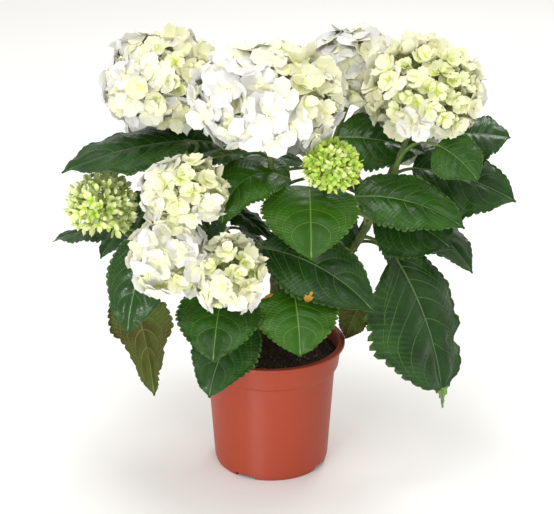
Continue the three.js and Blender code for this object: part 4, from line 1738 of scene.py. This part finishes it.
@dataclass
class Soil:
    """The peat in the pot: an uneven bed with crumbs, fibres and a few pale grains.

    Attributes:
        calm: Radius round the stool where the bed has no ripples.
        sink: How far the ripples sink, in their own height.
        tuck: How far the bed's edge runs into the collar.
        edge: Width of the ring where the bed falls off to the pot, and how far it falls.
        grains: Share of them that are pale grains.
    """

    pot: Pot
    top: float = 113
    calm: float = 15
    ripple: float = 1.6
    along_x: float = 0.21
    along_y: float = 0.17
    sink: float = 0.4
    lump: float = 1.1
    lump_size: float = 5.5
    depth: float = 30
    tuck: float = 1.4
    edge: Span = (3, 1.2)
    rings: int = 46
    sides: int = 180
    clearance: float = 0.3
    crumbs: float = 190000.0
    crumb_radius: float = 1.15
    crumb_height: float = 0.8
    grains: float = 0.06
    seed: int = 5
    peat: DampPeat = DampPeat("damp_peat", "#1a120c")
    crumb: DampPeat = DampPeat("peat_crumb", "#2a1c12", fibre="#5a432c")
    grain: DampPeat = DampPeat("bark_grain", "#6d5438", fibre="#a08a66")

    def bed(self) -> Patch:
        """Gives the bed: a fine uneven top on a plug that fills the mouth of the pot."""
        wall = self.pot.collar_foot - self.pot.wall - self.clearance
        radius = np.concatenate([np.linspace(wall + self.tuck, 2, self.rings), [0]])
        below = [(0, self.top - self.depth), (self.pot.shoulder - 4, self.top - self.depth)]
        profile = np.vstack([below, np.stack([radius, np.full(len(radius), self.top)], axis=1)])
        patch = turned(profile, self.sides)
        p = patch.points
        on_top = p[:, 2] > self.top - 1
        x, y = p[:, 0], p[:, 1]
        wave = np.sin(x * self.along_x + 1) * np.cos(y * self.along_y)
        far = np.clip((np.hypot(x, y) - self.calm) / 4, 0, 1)
        lumps = np.array([noise.fractal(Vector(q) / self.lump_size, 1.0, 2.0, 3) for q in p])
        rise = self.ripple * (wave - self.sink) * far + self.lump * lumps
        wide, drop = self.edge
        edge = np.clip((np.hypot(x, y) - wall + wide) / wide, 0, 1)
        p[:, 2] += np.where(on_top, rise - drop * edge, 0)
        return patch

    def build(self) -> None:
        """Makes the bed and strews its crumbs."""
        bed = make_piece("soil_bed", [self.bed()], [self.peat.material()])
        crumbs = link(bpy.data.objects.new("soil_crumbs", self.top_faces(bed.data)))
        values = {
            "Crumbs per m2": self.crumbs,
            "Radius": self.crumb_radius * MM,
            "Flatness": self.crumb_height,
            "Second share": self.grains,
            "Seed": self.seed,
            "First": self.crumb.material(),
            "Second": self.grain.material(),
        }
        run_group(crumbs, crumb_group(), values)
        settle(bed, ["soil"])
        settle(crumbs)

    def top_faces(self, bed: bpy.types.Mesh) -> bpy.types.Mesh:
        """Copies the bed's top, for the crumbs to be strewn on.

        Args:
            bed: The bed's mesh.

        Returns:
            A mesh of the faces that look up.
        """
        points = [v.co[:] for v in bed.vertices]
        limit = (self.top - 4) * MM
        faces = [p.vertices[:] for p in bed.polygons if p.center.z > limit and p.normal.z > 0.2]
        made = bpy.data.meshes.new("soil_top")
        made.from_pydata(points, [], faces)
        return made


@dataclass
class Stool:
    """The short woody stem that all canes spring from, with flaking bark.

    Attributes:
        outline: Radius and height above the foot.
        corner: How far from a corner the outline's rounding starts.
        waver: How far a fissure wavers on its way up, and how fast.
        sharpness: Power that makes the fissures narrow.
        drawn: Factor that draws the flakes out along the stem.
    """

    foot: float = 113.3
    outline: tuple[Span, ...] = (
        (0, -3), (14.6, -3), (14, 0), (11, 4.5), (11.5, 11), (14.5, 19), (14.5, 26), (11, 33), (5, 36.5),
        (0, 37),
    )
    corner: float = 6
    sides: int = 96
    fissures: int = 11
    waver: Span = (0.5, 0.35)
    sharpness: float = 0.6
    fissure_depth: float = 0.09
    flake_size: float = 3.0
    flake_height: float = 0.05
    drawn: float = 0.4
    # The bark's dark browns are partly its own colour and partly painted shade, for the crown's shadow over
    # the stool.
    bark: YoungBark = YoungBark(
        "flaking_bark", "#4e3d2a", roughness=0.85, streak="#2b2016", streak_width=1.8, depth=0.8
    )

    def build(self) -> None:
        """Makes the stool with its fissured relief."""
        profile = rounded(self.outline, self.corner, 8) + np.array([0, self.foot])
        fine = [np.linspace(low, high, 4)[1:] for low, high in zip(profile, profile[1:])]
        patch = turned(np.vstack([profile[:1], *fine]), self.sides)
        p = patch.points
        angle = np.arctan2(p[:, 1], p[:, 0])
        waver = self.waver[0] * np.sin(p[:, 2] * self.waver[1])
        crack = np.abs(np.sin(self.fissures * angle / 2 + waver)) ** self.sharpness
        flakes = [Vector((q[0], q[1], q[2] * self.drawn)) / self.flake_size for q in p]
        rough = np.array([noise.fractal(q, 1.0, 2.0, 3) for q in flakes])
        swell = 1 + self.fissure_depth * (crack - 0.75) + self.flake_height * rough
        p[:, :2] *= swell[:, None]
        settle(make_piece("stool_bark", [patch], [self.bark.material()]), ["main_stem"])


# Shoots


@dataclass
class StemSizes:
    """Radii of the stems, foot and top, as the solids have them."""

    cane: Span = (3.7, 3.1)
    shoot: Span = (3.1, 2.5)
    stalk: Span = (2.6, 2.2)
    ray: Span = (2.1, 1.7)
    leaf_stalk: Span = (1.9, 1.45)
    branch: Span = (1.2, 0.8)
    pedicel: Span = (0.6, 0.45)
    joint: float = 0.32
    joint_length: float = 3.5


@dataclass
class Limbs:
    """Makes the canes, leafy stems, leaf stalks and flower stalks.

    Attributes:
        overlap: How far one stretch of a shoot runs into the next, as a share of its curve.
        joints: Places of a bare cane's joints, as shares of the cane.
        pore_height: Its height, in radii.
        clasp: How far a leaf stalk swells where it clasps the stem, and over which share of it.
        slim: How far it narrows under the blade, and over which share.
        channel: Depth of the channel along its top, in radii, and its half width in radians.
    """

    sizes: StemSizes
    form: BladeForm
    overlap: float = 0.004
    joints: tuple[float, ...] = (0.42, 0.78)
    pores: float = 26000.0
    pore_radius: float = 0.55
    pore_height: float = 0.35
    clasp: Span = (0.45, 0.1)
    slim: Span = (0.35, 0.1)
    channel: Span = (0.16, 0.5)
    cane_bark: YoungBark = YoungBark("young_bark", "#59652f", roughness=0.62, streak="#4f4a28")
    green: PlainTissue = PlainTissue("green_stem", "#56682f", roughness=0.5)
    leaf_stalk: PlainTissue = PlainTissue("leaf_stalk", "#5f7937", roughness=0.45)
    pale: PlainTissue = PlainTissue("flower_stalk", "#b4c777", roughness=0.55)
    pore: PlainTissue = PlainTissue("bark_pore", "#b0a074", roughness=0.8)

    def jointed(self, span: Span, joints: Sequence[float], length: float) -> Radius:
        """Gives a stem's radius with a swelling at each joint and shallow ridges.

        Args:
            span: Radius at the foot and the top.
            joints: Places of the joints, as shares of the stem.
            length: The stem's length.

        Returns:
            A radius rule for tube().
        """
        def radius(share: np.ndarray, angle: np.ndarray) -> np.ndarray:
            """Gives radii at shares along and angles round the stem."""
            plain = span[0] + (span[1] - span[0]) * share
            gaps = [(share - k) * length / self.sizes.joint_length for k in joints]
            swell = self.sizes.joint * sum(np.exp(-(gap**2)) for gap in gaps)
            ridge = 0.025 * np.sin(5 * angle + 4 * share) + 0.02 * np.sin(3 * angle + share * length * 0.35)
            return plain * (1 + swell + ridge)

        return radius

    def cane(self, shoot: Shoot, pores: Tree) -> None:
        """Makes the bare cane of a shoot, with its joints and pores.

        Args:
            shoot: The shoot.
            pores: The tree that strews pores.
        """
        curve = shoot.curve()
        radius = self.jointed(self.sizes.cane, self.joints, curve.length() * shoot.bare)
        bare = tube(curve, (0, shoot.bare + self.overlap), radius, 22, 56)
        cane = make_piece(f"cane_bark_{shoot.name}", [bare], [self.cane_bark.material()])
        skin = link(bpy.data.objects.new(f"cane_pores_{shoot.name}", cane.data.copy()))
        values = {
            "Crumbs per m2": self.pores,
            "Radius": self.pore_radius * MM,
            "Flatness": self.pore_height,
            "Second share": 0.0,
            "Seed": len(shoot.name),
            "First": self.pore.material(),
            "Second": self.pore.material(),
        }
        run_group(skin, pores, values)
        settle(cane, [f"cane_{shoot.name}"])
        settle(skin)

    def leafy_stem(self, shoot: Shoot, leaves: Sequence[Leaf]) -> Piece:
        """Makes the leafy stretch of a shoot with all its leaf stalks.

        Args:
            shoot: The shoot.
            leaves: Its leaves.

        Returns:
            The stem and leaf stalks as one piece.
        """
        curve = shoot.curve()
        foot, top = shoot.bare, shoot.leafy + self.overlap
        joints = [(leaf.at - foot) / (top - foot) for leaf in leaves]
        radius = self.jointed(self.sizes.shoot, joints, curve.length() * (top - foot))
        patches = [tube(curve, (foot, top), radius, 18, 60)]
        patches += [tube(self.form.stalk(curve, leaf), (0, 1), self.channelled, 12, 14, 1) for leaf in leaves]
        skins = [self.green.material(), self.leaf_stalk.material()]
        return make_piece(f"leaf_stalks_{shoot.name}", patches, skins)

    def channelled(self, share: np.ndarray, angle: np.ndarray) -> np.ndarray:
        """Gives a leaf stalk's radii: swollen where it clasps the stem, with a channel along the top.

        Args:
            share: Shares along the stalk.
            angle: Angles round it.

        Returns:
            The radii.
        """
        foot, top = self.sizes.leaf_stalk
        clasp = self.clasp[0] * np.exp(-((share / self.clasp[1]) ** 2))
        thin, over = self.slim
        end = 1 - thin * np.clip((share - (1 - over)) / over, 0, 1)
        channel = self.channel[0] * np.exp(-(((angle - math.pi / 2) / self.channel[1]) ** 2))
        return (foot + (top - foot) * share) * (1 + clasp - channel) * end

    def flower_stalk(self, shoot: Shoot) -> list[Patch]:
        """Makes the stalk between the leafy stem and the head, and the rays to the heads' middles."""
        patches = [tube(shoot.curve(), (shoot.leafy, 1), taper(*self.sizes.stalk), 14, 16, 1)]
        tip = np.array(shoot.tip, float)
        for head in shoot.heads:
            middle = np.array(head.centre, float)
            ray = Bend(tip, (tip + middle) / 2, middle)
            patches.append(tube(ray, (0, 1), taper(*self.sizes.ray), 10, 6))
        return patches


@dataclass(frozen=True)
class SepalLook:
    """The form of the sepals of one stage, as shares of the floret's radius.

    Attributes:
        width: Half the width.
        tip: Length of the drawn-out point.
        cup: Span of the rise at the tip.
        dish: Span of the rise at the sides.
        twist: Spread of the turn about the sepal's own length.
    """

    width: float
    tip: float
    cup: Span
    dish: Span
    twist: float


SEPAL_LOOKS = {
    Stage.OPEN: SepalLook(0.58, 0.03, (-0.12, 0.34), (-0.05, 0.3), 0.14),
    Stage.HALF: SepalLook(0.54, 0.05, (0.3, 0.9), (0.15, 0.5), 0.2),
    Stage.TIGHT: SepalLook(0.4, 0.2, (0.5, 0.9), (0.4, 0.6), 0.06),
}


@dataclass
class FloretShapes:
    """The florets that are dealt over the heads, three of each stage, 1 in radius.

    Attributes:
        frill: How far its rim goes in and out.
        wide: Least and greatest width, in those of its look.
        spread: Share of that width at its foot, and how much more its tip has.
        nick: How far the middle of its tip draws in, and how far it stands out.
        turn: How far it turns out of its quarter.
        lift: How far every second sepal is raised.
    """

    seed: int = 11
    across: int = 4
    lengthwise: int = 5
    frill: float = 0.05
    wide: Span = (0.9, 1.1)
    spread: Span = (0.72, 0.28)
    nick: Span = (-0.06, 0.03)
    wave: Span = (0.03, 0.07)
    turn: float = 10
    long: Span = (0.88, 1.06)
    lift: float = 0.04
    heart: float = 0.075

    def sepal(self, rng: np.random.Generator, stage: Stage) -> np.ndarray:
        """Gives a sepal's points, in rows from the heart to the tip.

        Args:
            rng: The shape's own random numbers.
            stage: How far the floret has opened.

        Returns:
            Points of a sepal that lies along +X.
        """
        rows, columns = np.linspace(-1, 1, self.lengthwise + 1), np.linspace(-1, 1, self.across + 1)
        u, b = np.meshgrid(rows, columns, indexing="ij")
        look = SEPAL_LOOKS[stage]
        number = np.add.outer(np.arange(self.lengthwise + 1), np.arange(self.across + 1))
        frill = self.frill * np.where(number % 2, 1, -1) * np.maximum(np.abs(u), np.abs(b)) ** 8
        x = u * np.sqrt(1 - b**2 / 2) * (1 + frill)
        side = b * np.sqrt(1 - u**2 / 2) * (1 + frill)
        a = (x + 1) / 2
        half = look.width * rng.uniform(*self.wide) * side * (self.spread[0] + self.spread[1] * a)
        cup, dish = rng.uniform(*look.cup), rng.uniform(*look.dish)
        nick = rng.uniform(*self.nick) * np.exp(-((b / 0.4) ** 2)) * a**6
        along = a + nick + look.tip * np.exp(-((b / 0.35) ** 2)) * a**6
        wave = rng.uniform(*self.wave) * np.sin(2.4 * math.pi * a + rng.uniform(0, 6)) * b
        twist = rng.normal(0, look.twist) * half
        rise = cup * a**2 + dish * np.abs(side) * np.abs(half) + wave + twist
        return np.stack([along * (1 - 0.38 * max(cup, 0) * a), half, rise], axis=-1)

    def floret(self, rng: np.random.Generator, stage: Stage) -> tuple[Patch, np.ndarray]:
        """Gives a floret of four crossed sepals round a small heart.

        Args:
            rng: The shape's own random numbers.
            stage: How far the floret has opened.

        Returns:
            The floret, and each face's zone: 0 on the sepals, 1 at their feet and 2 at the heart.
        """
        rows, columns = self.lengthwise + 1, self.across + 1
        one = sheet_faces(rows, columns)
        points, faces, zones = [], [], []
        for k in range(4):
            turn = math.radians(90 * k + rng.uniform(-self.turn, self.turn))
            petal = self.sepal(rng, stage).reshape(-1, 3)
            petal *= rng.uniform(*self.long)
            petal[:, 2] += self.lift * (k % 2)
            cos, sin = math.cos(turn), math.sin(turn)
            points.append(petal @ np.array([[cos, sin, 0], [-sin, cos, 0], [0, 0, 1]]))
            faces.append(one + k * rows * columns)
            zones.append(np.repeat(np.array([2, 1, 0, 0, 0]), columns - 1))
        heart = self.bead(self.heart, 5, 1)
        points.append(heart.points + np.array([0, 0, self.heart * 0.7]))
        faces.append(np.where(heart.faces == TRIANGLE, TRIANGLE, heart.faces + 4 * rows * columns))
        zones.append(np.full(len(heart.faces), 2))
        return Patch(np.vstack(points), np.vstack(faces)), np.concatenate(zones)

    def bead(self, radius: float, sides: int, rings: int) -> Patch:
        """Gives a small closed ball.

        Args:
            radius: Its radius.
            sides: Points round it.
            rings: Rings between its poles.

        Returns:
            The ball.
        """
        height = np.cos(np.linspace(math.pi, 0, rings + 2))
        profile = np.stack([np.sqrt(np.maximum(1 - height**2, 0)), height], axis=1) * radius
        return turned(profile, sides)

    def build(self) -> bpy.types.Collection:
        """Makes the collection that the Geometry Nodes tree picks from."""
        shapes = bpy.data.collections.new("floret_shapes")
        rng = np.random.default_rng(self.seed)
        for stage in Stage:
            for k in range(SHAPES_PER_STAGE):
                if stage is Stage.BEAD:
                    patch = self.bead(1.0, 7, 3)
                    patch.points *= np.array([1, 1, rng.uniform(0.95, 1.2)])
                    zones = np.arange(len(patch.faces)) % 7 == 0
                else:
                    patch, zones = self.floret(rng, stage)
                patch.points /= MM
                obj = make_piece(f"floret_{stage.value + k:02d}", [patch])
                zone = obj.data.attributes.new("zone", "INT", "FACE")
                zone.data.foreach_set("value", zones.astype(np.int32))
                bpy.context.scene.collection.objects.unlink(obj)
                shapes.objects.link(obj)
        return shapes


@dataclass(frozen=True)
class Floret:
    """One floret that is dealt: its place, the way it faces, its radius, stage, tone and head."""

    place: np.ndarray
    facing: np.ndarray
    size: float
    stage: Stage
    tone: Sepals
    head: Head


@dataclass(frozen=True)
class Layer:
    """One layer of florets over a head.

    Attributes:
        density: Florets for each flower on the head's solid.
        face: Its distance from the middle, as a share of the head's radii.
        shift: How much younger the whole layer is.
        only_young: True to leave out all florets but the young side's.
        painted_lime_shade: True where open florets take the lime tone as painted shade, standing in for the
            shade deep in a head that light through the sepals tints.
    """

    density: float
    face: float
    turn: float
    shift: float = 0.0
    only_young: bool = False
    painted_lime_shade: bool = False


LAYERS = (
    Layer(2.5, 0.94, 0.0),
    Layer(2.9, 0.9, 1.3, only_young=True),
    # The deepest layer's open florets are lime as painted shade.
    Layer(2.5, 0.8, 2.2, 0.35, painted_lime_shade=True),
)
# A floret's age beyond the head's ripe share up to which a row holds, its tone, its stage, and its
# least and greatest radius in the head's mean radius of a floret.
RIPENESS = (
    (0.0, Sepals.WHITE, Stage.OPEN, (1.12, 1.36)),
    (0.2, Sepals.IVORY, Stage.OPEN, (0.98, 1.18)),
    (0.38, Sepals.CREAM, Stage.HALF, (0.82, 1.04)),
    (math.inf, Sepals.LIME, Stage.HALF, (0.56, 0.8)),
)


@dataclass
class Florets:
    """The florets of one shoot, dealt over its heads before Geometry Nodes sets them.

    Attributes:
        wrap: How far down a head its florets reach, from its top, in radii.
        young_from: Age beyond the head's ripe share from which a floret is on the young side.
        tilt: Spread of their tilt in a head, and in a bud cluster.
        sunk: Least depth of a floret in its head, and how much deeper one may lie, in the head's mean
            radius of a floret.
        cluster_faces: Distance of a bud cluster's two layers from its middle, in radii.
        bud_size: Least and greatest radius of a tight floret, in the cluster's mean.
        bud_depth: Greatest depth of a bud, in the cluster's radius.
        bead_step: Every such bud is a round one.
        forks: Branches in a head, how far out they end, and the angle of the first.
    """

    shoot: Shoot
    seed: int
    wrap: float = 1.72
    young_from: float = 0.15
    age_spread: float = 0.3
    tilt: Span = (0.26, 0.3)
    sunk: Span = (0.12, 0.22)
    cluster_faces: Span = (0.97, 0.7)
    bud_size: Span = (0.7, 1.05)
    bud_depth: float = 0.16
    bead_step: int = 5
    bead_size: float = 0.26
    forks: tuple[int, float, float] = (11, 0.45, 0.5)
    dealt: list[Floret] = field(default_factory=list)

    def deal(self) -> None:
        """Deals florets over every head of the shoot."""
        rng = np.random.default_rng(self.seed)
        for head in self.shoot.heads:
            if self.shoot.is_bud():
                self.deal_cluster(head, rng)
            else:
                for layer in LAYERS:
                    self.deal_layer(head, layer, rng)

    def dome(self, head: Head, count: int, face: float, turn: float) -> tuple[np.ndarray, np.ndarray]:
        """Gives places over a head by the golden angle, and the directions out of it there.

        Args:
            head: The head.
            count: How many places.
            face: Their distance from the middle, as a share of the head's radii.
            turn: Angle of the first place.

        Returns:
            Places and unit directions.
        """
        k = np.arange(count)
        z = 1 - self.wrap * (k + 0.5) / count
        angle = GOLDEN_ANGLE * k + turn
        level = np.sqrt(1 - z * z)
        sphere = np.stack([level * np.cos(angle), level * np.sin(angle), z], axis=1)
        radius = np.array(head.radius, float)
        return sphere * radius * face + np.array(head.centre, float), unit(sphere / radius)

    def deal_layer(self, head: Head, layer: Layer, rng: np.random.Generator) -> None:
        """Deals one layer of a head, with its ripest florets away from the head's young side.

        Args:
            head: The head.
            layer: The layer.
            rng: The shoot's own random numbers.
        """
        count = round(head.florets * layer.density)
        places, outward = self.dome(head, count, layer.face, layer.turn)
        age = outward @ unit(np.array(head.young, float)) + rng.normal(0, self.age_spread, count)
        order = np.argsort(np.argsort(age)) / count
        for place, out, share in zip(places, outward, order + layer.shift):
            if layer.only_young and share < head.ripe + self.young_from:
                continue
            tone, stage, sizes = next(row[1:] for row in RIPENESS if share < head.ripe + row[0])
            size = rng.uniform(*sizes) * head.petal
            # Deep in a head, open florets take the lime tone as painted shade, for the shade between sepals
            # that light passing through them tints.
            if layer.painted_lime_shade and stage is Stage.OPEN:
                tone = Sepals.LIME
            tilt = unit(out + rng.normal(0, self.tilt[0], 3))
            sunk = out * head.petal * (self.sunk[0] + rng.uniform(0, self.sunk[1]))
            self.dealt.append(Floret(place - sunk, tilt, size, stage, tone, head))

    def deal_cluster(self, head: Head, rng: np.random.Generator) -> None:
        """Deals a bud cluster: small tight florets with round buds between them, in two layers.

        Args:
            head: The cluster.
            rng: The shoot's own random numbers.
        """
        count = round(head.florets * head.crowd)
        for face, number in zip(self.cluster_faces, (count, count // 2)):
            for k, (place, out) in enumerate(zip(*self.dome(head, number, face, face))):
                tilt = unit(out + rng.normal(0, self.tilt[1], 3))
                depth = rng.uniform(0, self.bud_depth) * np.array(head.radius).mean()
                tone = Sepals.BUD_TIP if rng.random() < head.ripe else Sepals.BUD
                if k % self.bead_step == self.bead_step - 1:
                    stage, size = Stage.BEAD, head.petal * self.bead_size
                else:
                    stage, size = Stage.TIGHT, head.petal * rng.uniform(*self.bud_size)
                    depth += size * 0.5
                self.dealt.append(Floret(place - out * depth, tilt, size, stage, tone, head))

    def points(self) -> Piece:
        """Makes the points that Geometry Nodes reads, one for each floret."""
        rng = np.random.default_rng(self.seed + 1)
        mesh = bpy.data.meshes.new(f"florets_{self.shoot.name}")
        mesh.from_pydata((np.array([f.place for f in self.dealt]) * MM).tolist(), [], [])
        spins = rng.uniform(0, math.pi, len(self.dealt))
        shapes = [f.stage.value + int(rng.integers(SHAPES_PER_STAGE)) for f in self.dealt]
        columns = {
            "facing": ("FLOAT_VECTOR", "vector", np.array([f.facing for f in self.dealt]).ravel()),
            "spin": ("FLOAT", "value", spins),
            "size": ("FLOAT", "value", np.array([f.size for f in self.dealt]) * MM),
            "shape": ("INT", "value", shapes),
            "tone": ("INT", "value", [f.tone.value for f in self.dealt]),
        }
        for name, (kind, key, values) in columns.items():
            mesh.attributes.new(name, kind, "POINT").data.foreach_set(key, values)
        return link(bpy.data.objects.new(mesh.name, mesh))

    def stalks(self, sizes: StemSizes) -> list[Patch]:
        """Makes the branches of the heads, and the thin stalk of every floret.

        Args:
            sizes: The stems' radii.

        Returns:
            Branches and stalks.
        """
        patches = []
        for head in self.shoot.heads:
            hub = np.array(head.centre, float)
            forks, _ = self.dome(head, *self.forks)
            lines = [(Bend(hub, (hub + fork) / 2, fork), sizes.branch, 6, 2) for fork in forks]
            for floret in (f for f in self.dealt if f.head is head):
                near = forks[np.linalg.norm(forks - floret.place, axis=1).argmin()]
                steer = floret.place - floret.facing * np.linalg.norm(floret.place - near) * 0.5
                lines.append((Bend(near, steer, floret.place), sizes.pedicel, 4, 3))
            patches += [tube(curve, (0, 1), taper(*ends), *steps) for curve, ends, *steps in lines]
        return patches


@dataclass
class Crown:
    """All shoots: canes, leaves and heads, each mass in pieces of its own kind.

    Attributes:
        vary: Least and greatest factor on a floret's size.
        leaf_seeds: Step from one shoot's leaf seeds to the next's.
    """

    shoots: Sequence[Shoot]
    form: BladeForm = BladeForm()
    sizes: StemSizes = field(default_factory=StemSizes)
    scorched: PlainTissue = PlainTissue("scorched_leaf_edge", "#b98a2e", roughness=0.7)
    pale_tip: PlainTissue = PlainTissue("pale_leaf_tip", "#6f8f42", roughness=0.55)
    vary: Span = (0.94, 1.06)
    leaf_seeds: int = 1000
    floret_seed: int = 500

    def leaf_finishes(self) -> tuple[list[Material], list[Material]]:
        """Makes the leaf skins and the veins of all tones.

        Returns:
            Upper and lower skins in turn, the scorched edge and the pale tip. Then upper midrib, upper
            side veins, lower midrib and lower side veins in turn.
        """
        skins, veins = [], []
        for tone in LeafTone:
            look, name = tone.value, tone.name.lower()
            relief = {"rung_depth": look.ladder, "rung_share": 1.6 * look.ladder}
            stain = look.stain or look.lower
            skins += [
                LeafSkin(f"leaf_{name}", look.upper, look.gloss, shade=look.shade, vein=look.vein, **relief),
                LeafSkin(f"leaf_under_{name}", look.lower, 0.62, shade=stain, vein=look.rib),
            ]
            veins += [
                PlainTissue(f"midrib_{name}", look.vein, 0.45),
                PlainTissue(f"side_vein_{name}", look.side, 0.42),
                PlainTissue(f"under_midrib_{name}", look.rib, 0.6),
                PlainTissue(f"under_side_vein_{name}", look.rib, 0.6),
            ]
        skins += [self.scorched, self.pale_tip]
        return [finish.material() for finish in skins], [finish.material() for finish in veins]

    def leaves(self, leaves: Sequence[Leaf], maker: BladeMaker, seed: int) -> tuple[list[Patch], list[Patch]]:
        """Makes the blades and veins of a shoot.

        Args:
            leaves: The shoot's leaves.
            maker: Maps the plan onto leaves.
            seed: Seed of the leaves' own waves.

        Returns:
            The blades and the veins.
        """
        blades, veins = [], []
        tones = list(LeafTone)
        edge = 2 * len(tones)
        for number, leaf in enumerate(leaves):
            upper = maker.skin(leaf, seed + number)
            tone = 2 * tones.index(leaf.tone)
            blades.append(maker.blade(leaf, upper, (tone, tone + 1, edge, edge + 1)))
            veins += [maker.veins(leaf, upper, below, 2 * (tone + below)) for below in (False, True)]
        return blades, veins

    def build(self) -> None:
        """Grows the whole crown, shoot by shoot."""
        maker = BladeMaker(self.form, BladePlan(self.form))
        grown = LeafRule(self.form).grow(self.shoots)
        skins, vein_skins = self.leaf_finishes()
        limbs = Limbs(self.sizes, self.form)
        shapes = FloretShapes().build()
        sepals = [PlainTissue(f"sepal_{name}", colour, **SEPAL_SKIN) for name, colour in SEPAL_LADDER]
        values = {"Florets": shapes, "Smallest": self.vary[0], "Largest": self.vary[1]}
        values.update({f"Finish {k}": finish.material() for k, finish in enumerate(sepals)})
        tree, pores = floret_group(len(sepals)), crumb_group()
        for order, shoot in enumerate(self.shoots):
            limbs.cane(shoot, pores)
            leaves = [*shoot.leaves, *grown[shoot.name]]
            LOG.info("%s has %d leaves", shoot.name, len(leaves))
            blades, veins = self.leaves(leaves, maker, self.leaf_seeds * order)
            piece = make_piece(f"leaf_blades_{shoot.name}", blades, skins)
            settle(piece, [f"foliage_{shoot.name}"])
            settle(make_piece(f"leaf_veins_{shoot.name}", veins, vein_skins))
            settle(limbs.leafy_stem(shoot, leaves))
            florets = Florets(shoot, self.floret_seed + order)
            self.heads(shoot, florets, limbs, tree, {**values, "Seed": order})
        for shape in list(shapes.objects):
            bpy.data.objects.remove(shape)
        bpy.data.collections.remove(shapes)

    def heads(
        self, shoot: Shoot, florets: Florets, limbs: Limbs, tree: Tree, values: dict[str, object]
    ) -> None:
        """Makes the florets and flower stalks of a shoot.

        Args:
            shoot: The shoot.
            florets: Deals its florets.
            limbs: Makes the stalks.
            tree: The tree that sets florets on points.
            values: The tree's inputs.
        """
        florets.deal()
        stalks = limbs.flower_stalk(shoot) + florets.stalks(self.sizes)
        piece = run_group(florets.points(), tree, values)
        for name in ("facing", "spin", "size", "shape", "tone", "zone"):
            if name in piece.data.attributes:
                piece.data.attributes.remove(piece.data.attributes[name])
        settle(piece, [f"bloom_{shoot.name}"])
        skins = [limbs.pale.material(), limbs.green.material()]
        settle(make_piece(f"flower_stalks_{shoot.name}", stalks, skins))


# Studio


@dataclass
class Studio:
    """A plain pale floor, soft lights and a camera at the photograph's angle."""

    aim: Point = (5.6, 0.0, 208.0)
    distance: float = 1720.0
    elevation: float = 22.0
    lens: float = 120.0
    sensor: float = 36.0
    floor_size: float = 9000.0
    floor: Finish = Finish("studio_floor", "#fafaf8", 0.8)
    sky: str = "#fbfaf8"
    sky_strength: float = 0.8

    def camera(self) -> None:
        """Sets up the camera."""
        data = bpy.data.cameras.new("camera")
        data.lens = self.lens
        data.sensor_width = self.sensor
        camera = link(bpy.data.objects.new("camera", data))
        rise = math.radians(self.elevation)
        back = Vector((0, -math.cos(rise), math.sin(rise)))
        camera.location = (Vector(self.aim) + back * self.distance) * MM
        camera.rotation_euler = (math.radians(90 - self.elevation), 0, 0)
        bpy.context.scene.camera = camera

    def lamp(self, name: str, place: Point, size: Span, watts: float) -> None:
        """Adds a soft box that faces the plant.

        Args:
            name: The light's name.
            place: Where it hangs.
            size: Its width and height.
            watts: Its power.
        """
        data = bpy.data.lights.new(name, "AREA")
        data.shape = "RECTANGLE"
        data.size, data.size_y = size[0] * MM, size[1] * MM
        data.energy = watts
        lamp = link(bpy.data.objects.new(name, data))
        lamp.location = Vector(place) * MM
        lamp.rotation_euler = (Vector(self.aim) - Vector(place)).to_track_quat("-Z", "Y").to_euler()

    def build(self) -> None:
        """Sets up floor, world, lights and camera."""
        half = self.floor_size / 2
        corners = np.array([(-half, -half, 0), (half, -half, 0), (half, half, 0), (-half, half, 0)], float)
        make_piece("floor", [Patch(corners, np.array([[0, 1, 2, 3]]))], [self.floor.material()])
        world = bpy.data.worlds.new("studio")
        world.use_nodes = True
        sky = world.node_tree.nodes["Background"]
        feed(sky, {"Color": linear(self.sky), "Strength": self.sky_strength})
        bpy.context.scene.world = world
        bpy.context.scene.view_settings.view_transform = "Standard"
        self.lamp("key", (-550, -1350, 1700), (900, 900), 7)
        self.lamp("fill", (520, -1650, 1150), (800, 800), 5)
        self.lamp("top", (-100, -100, 2000), (600, 600), 8)
        self.lamp("back", (500, 1200, 1500), (600, 600), 9)
        self.lamp("strip", (-560, -1200, 120), (130, 200), 6)
        self.camera()


def main() -> None:
    """Builds the scene: studio, pot, soil, stool and crown."""
    logging.basicConfig(level=logging.INFO, format="%(name)s: %(message)s")
    Studio().build()
    pot = Pot()
    pot.build()
    Soil(pot).build()
    Stool().build()
    Crown(SHOOTS).build()


if __name__ == "__main__":
    main()
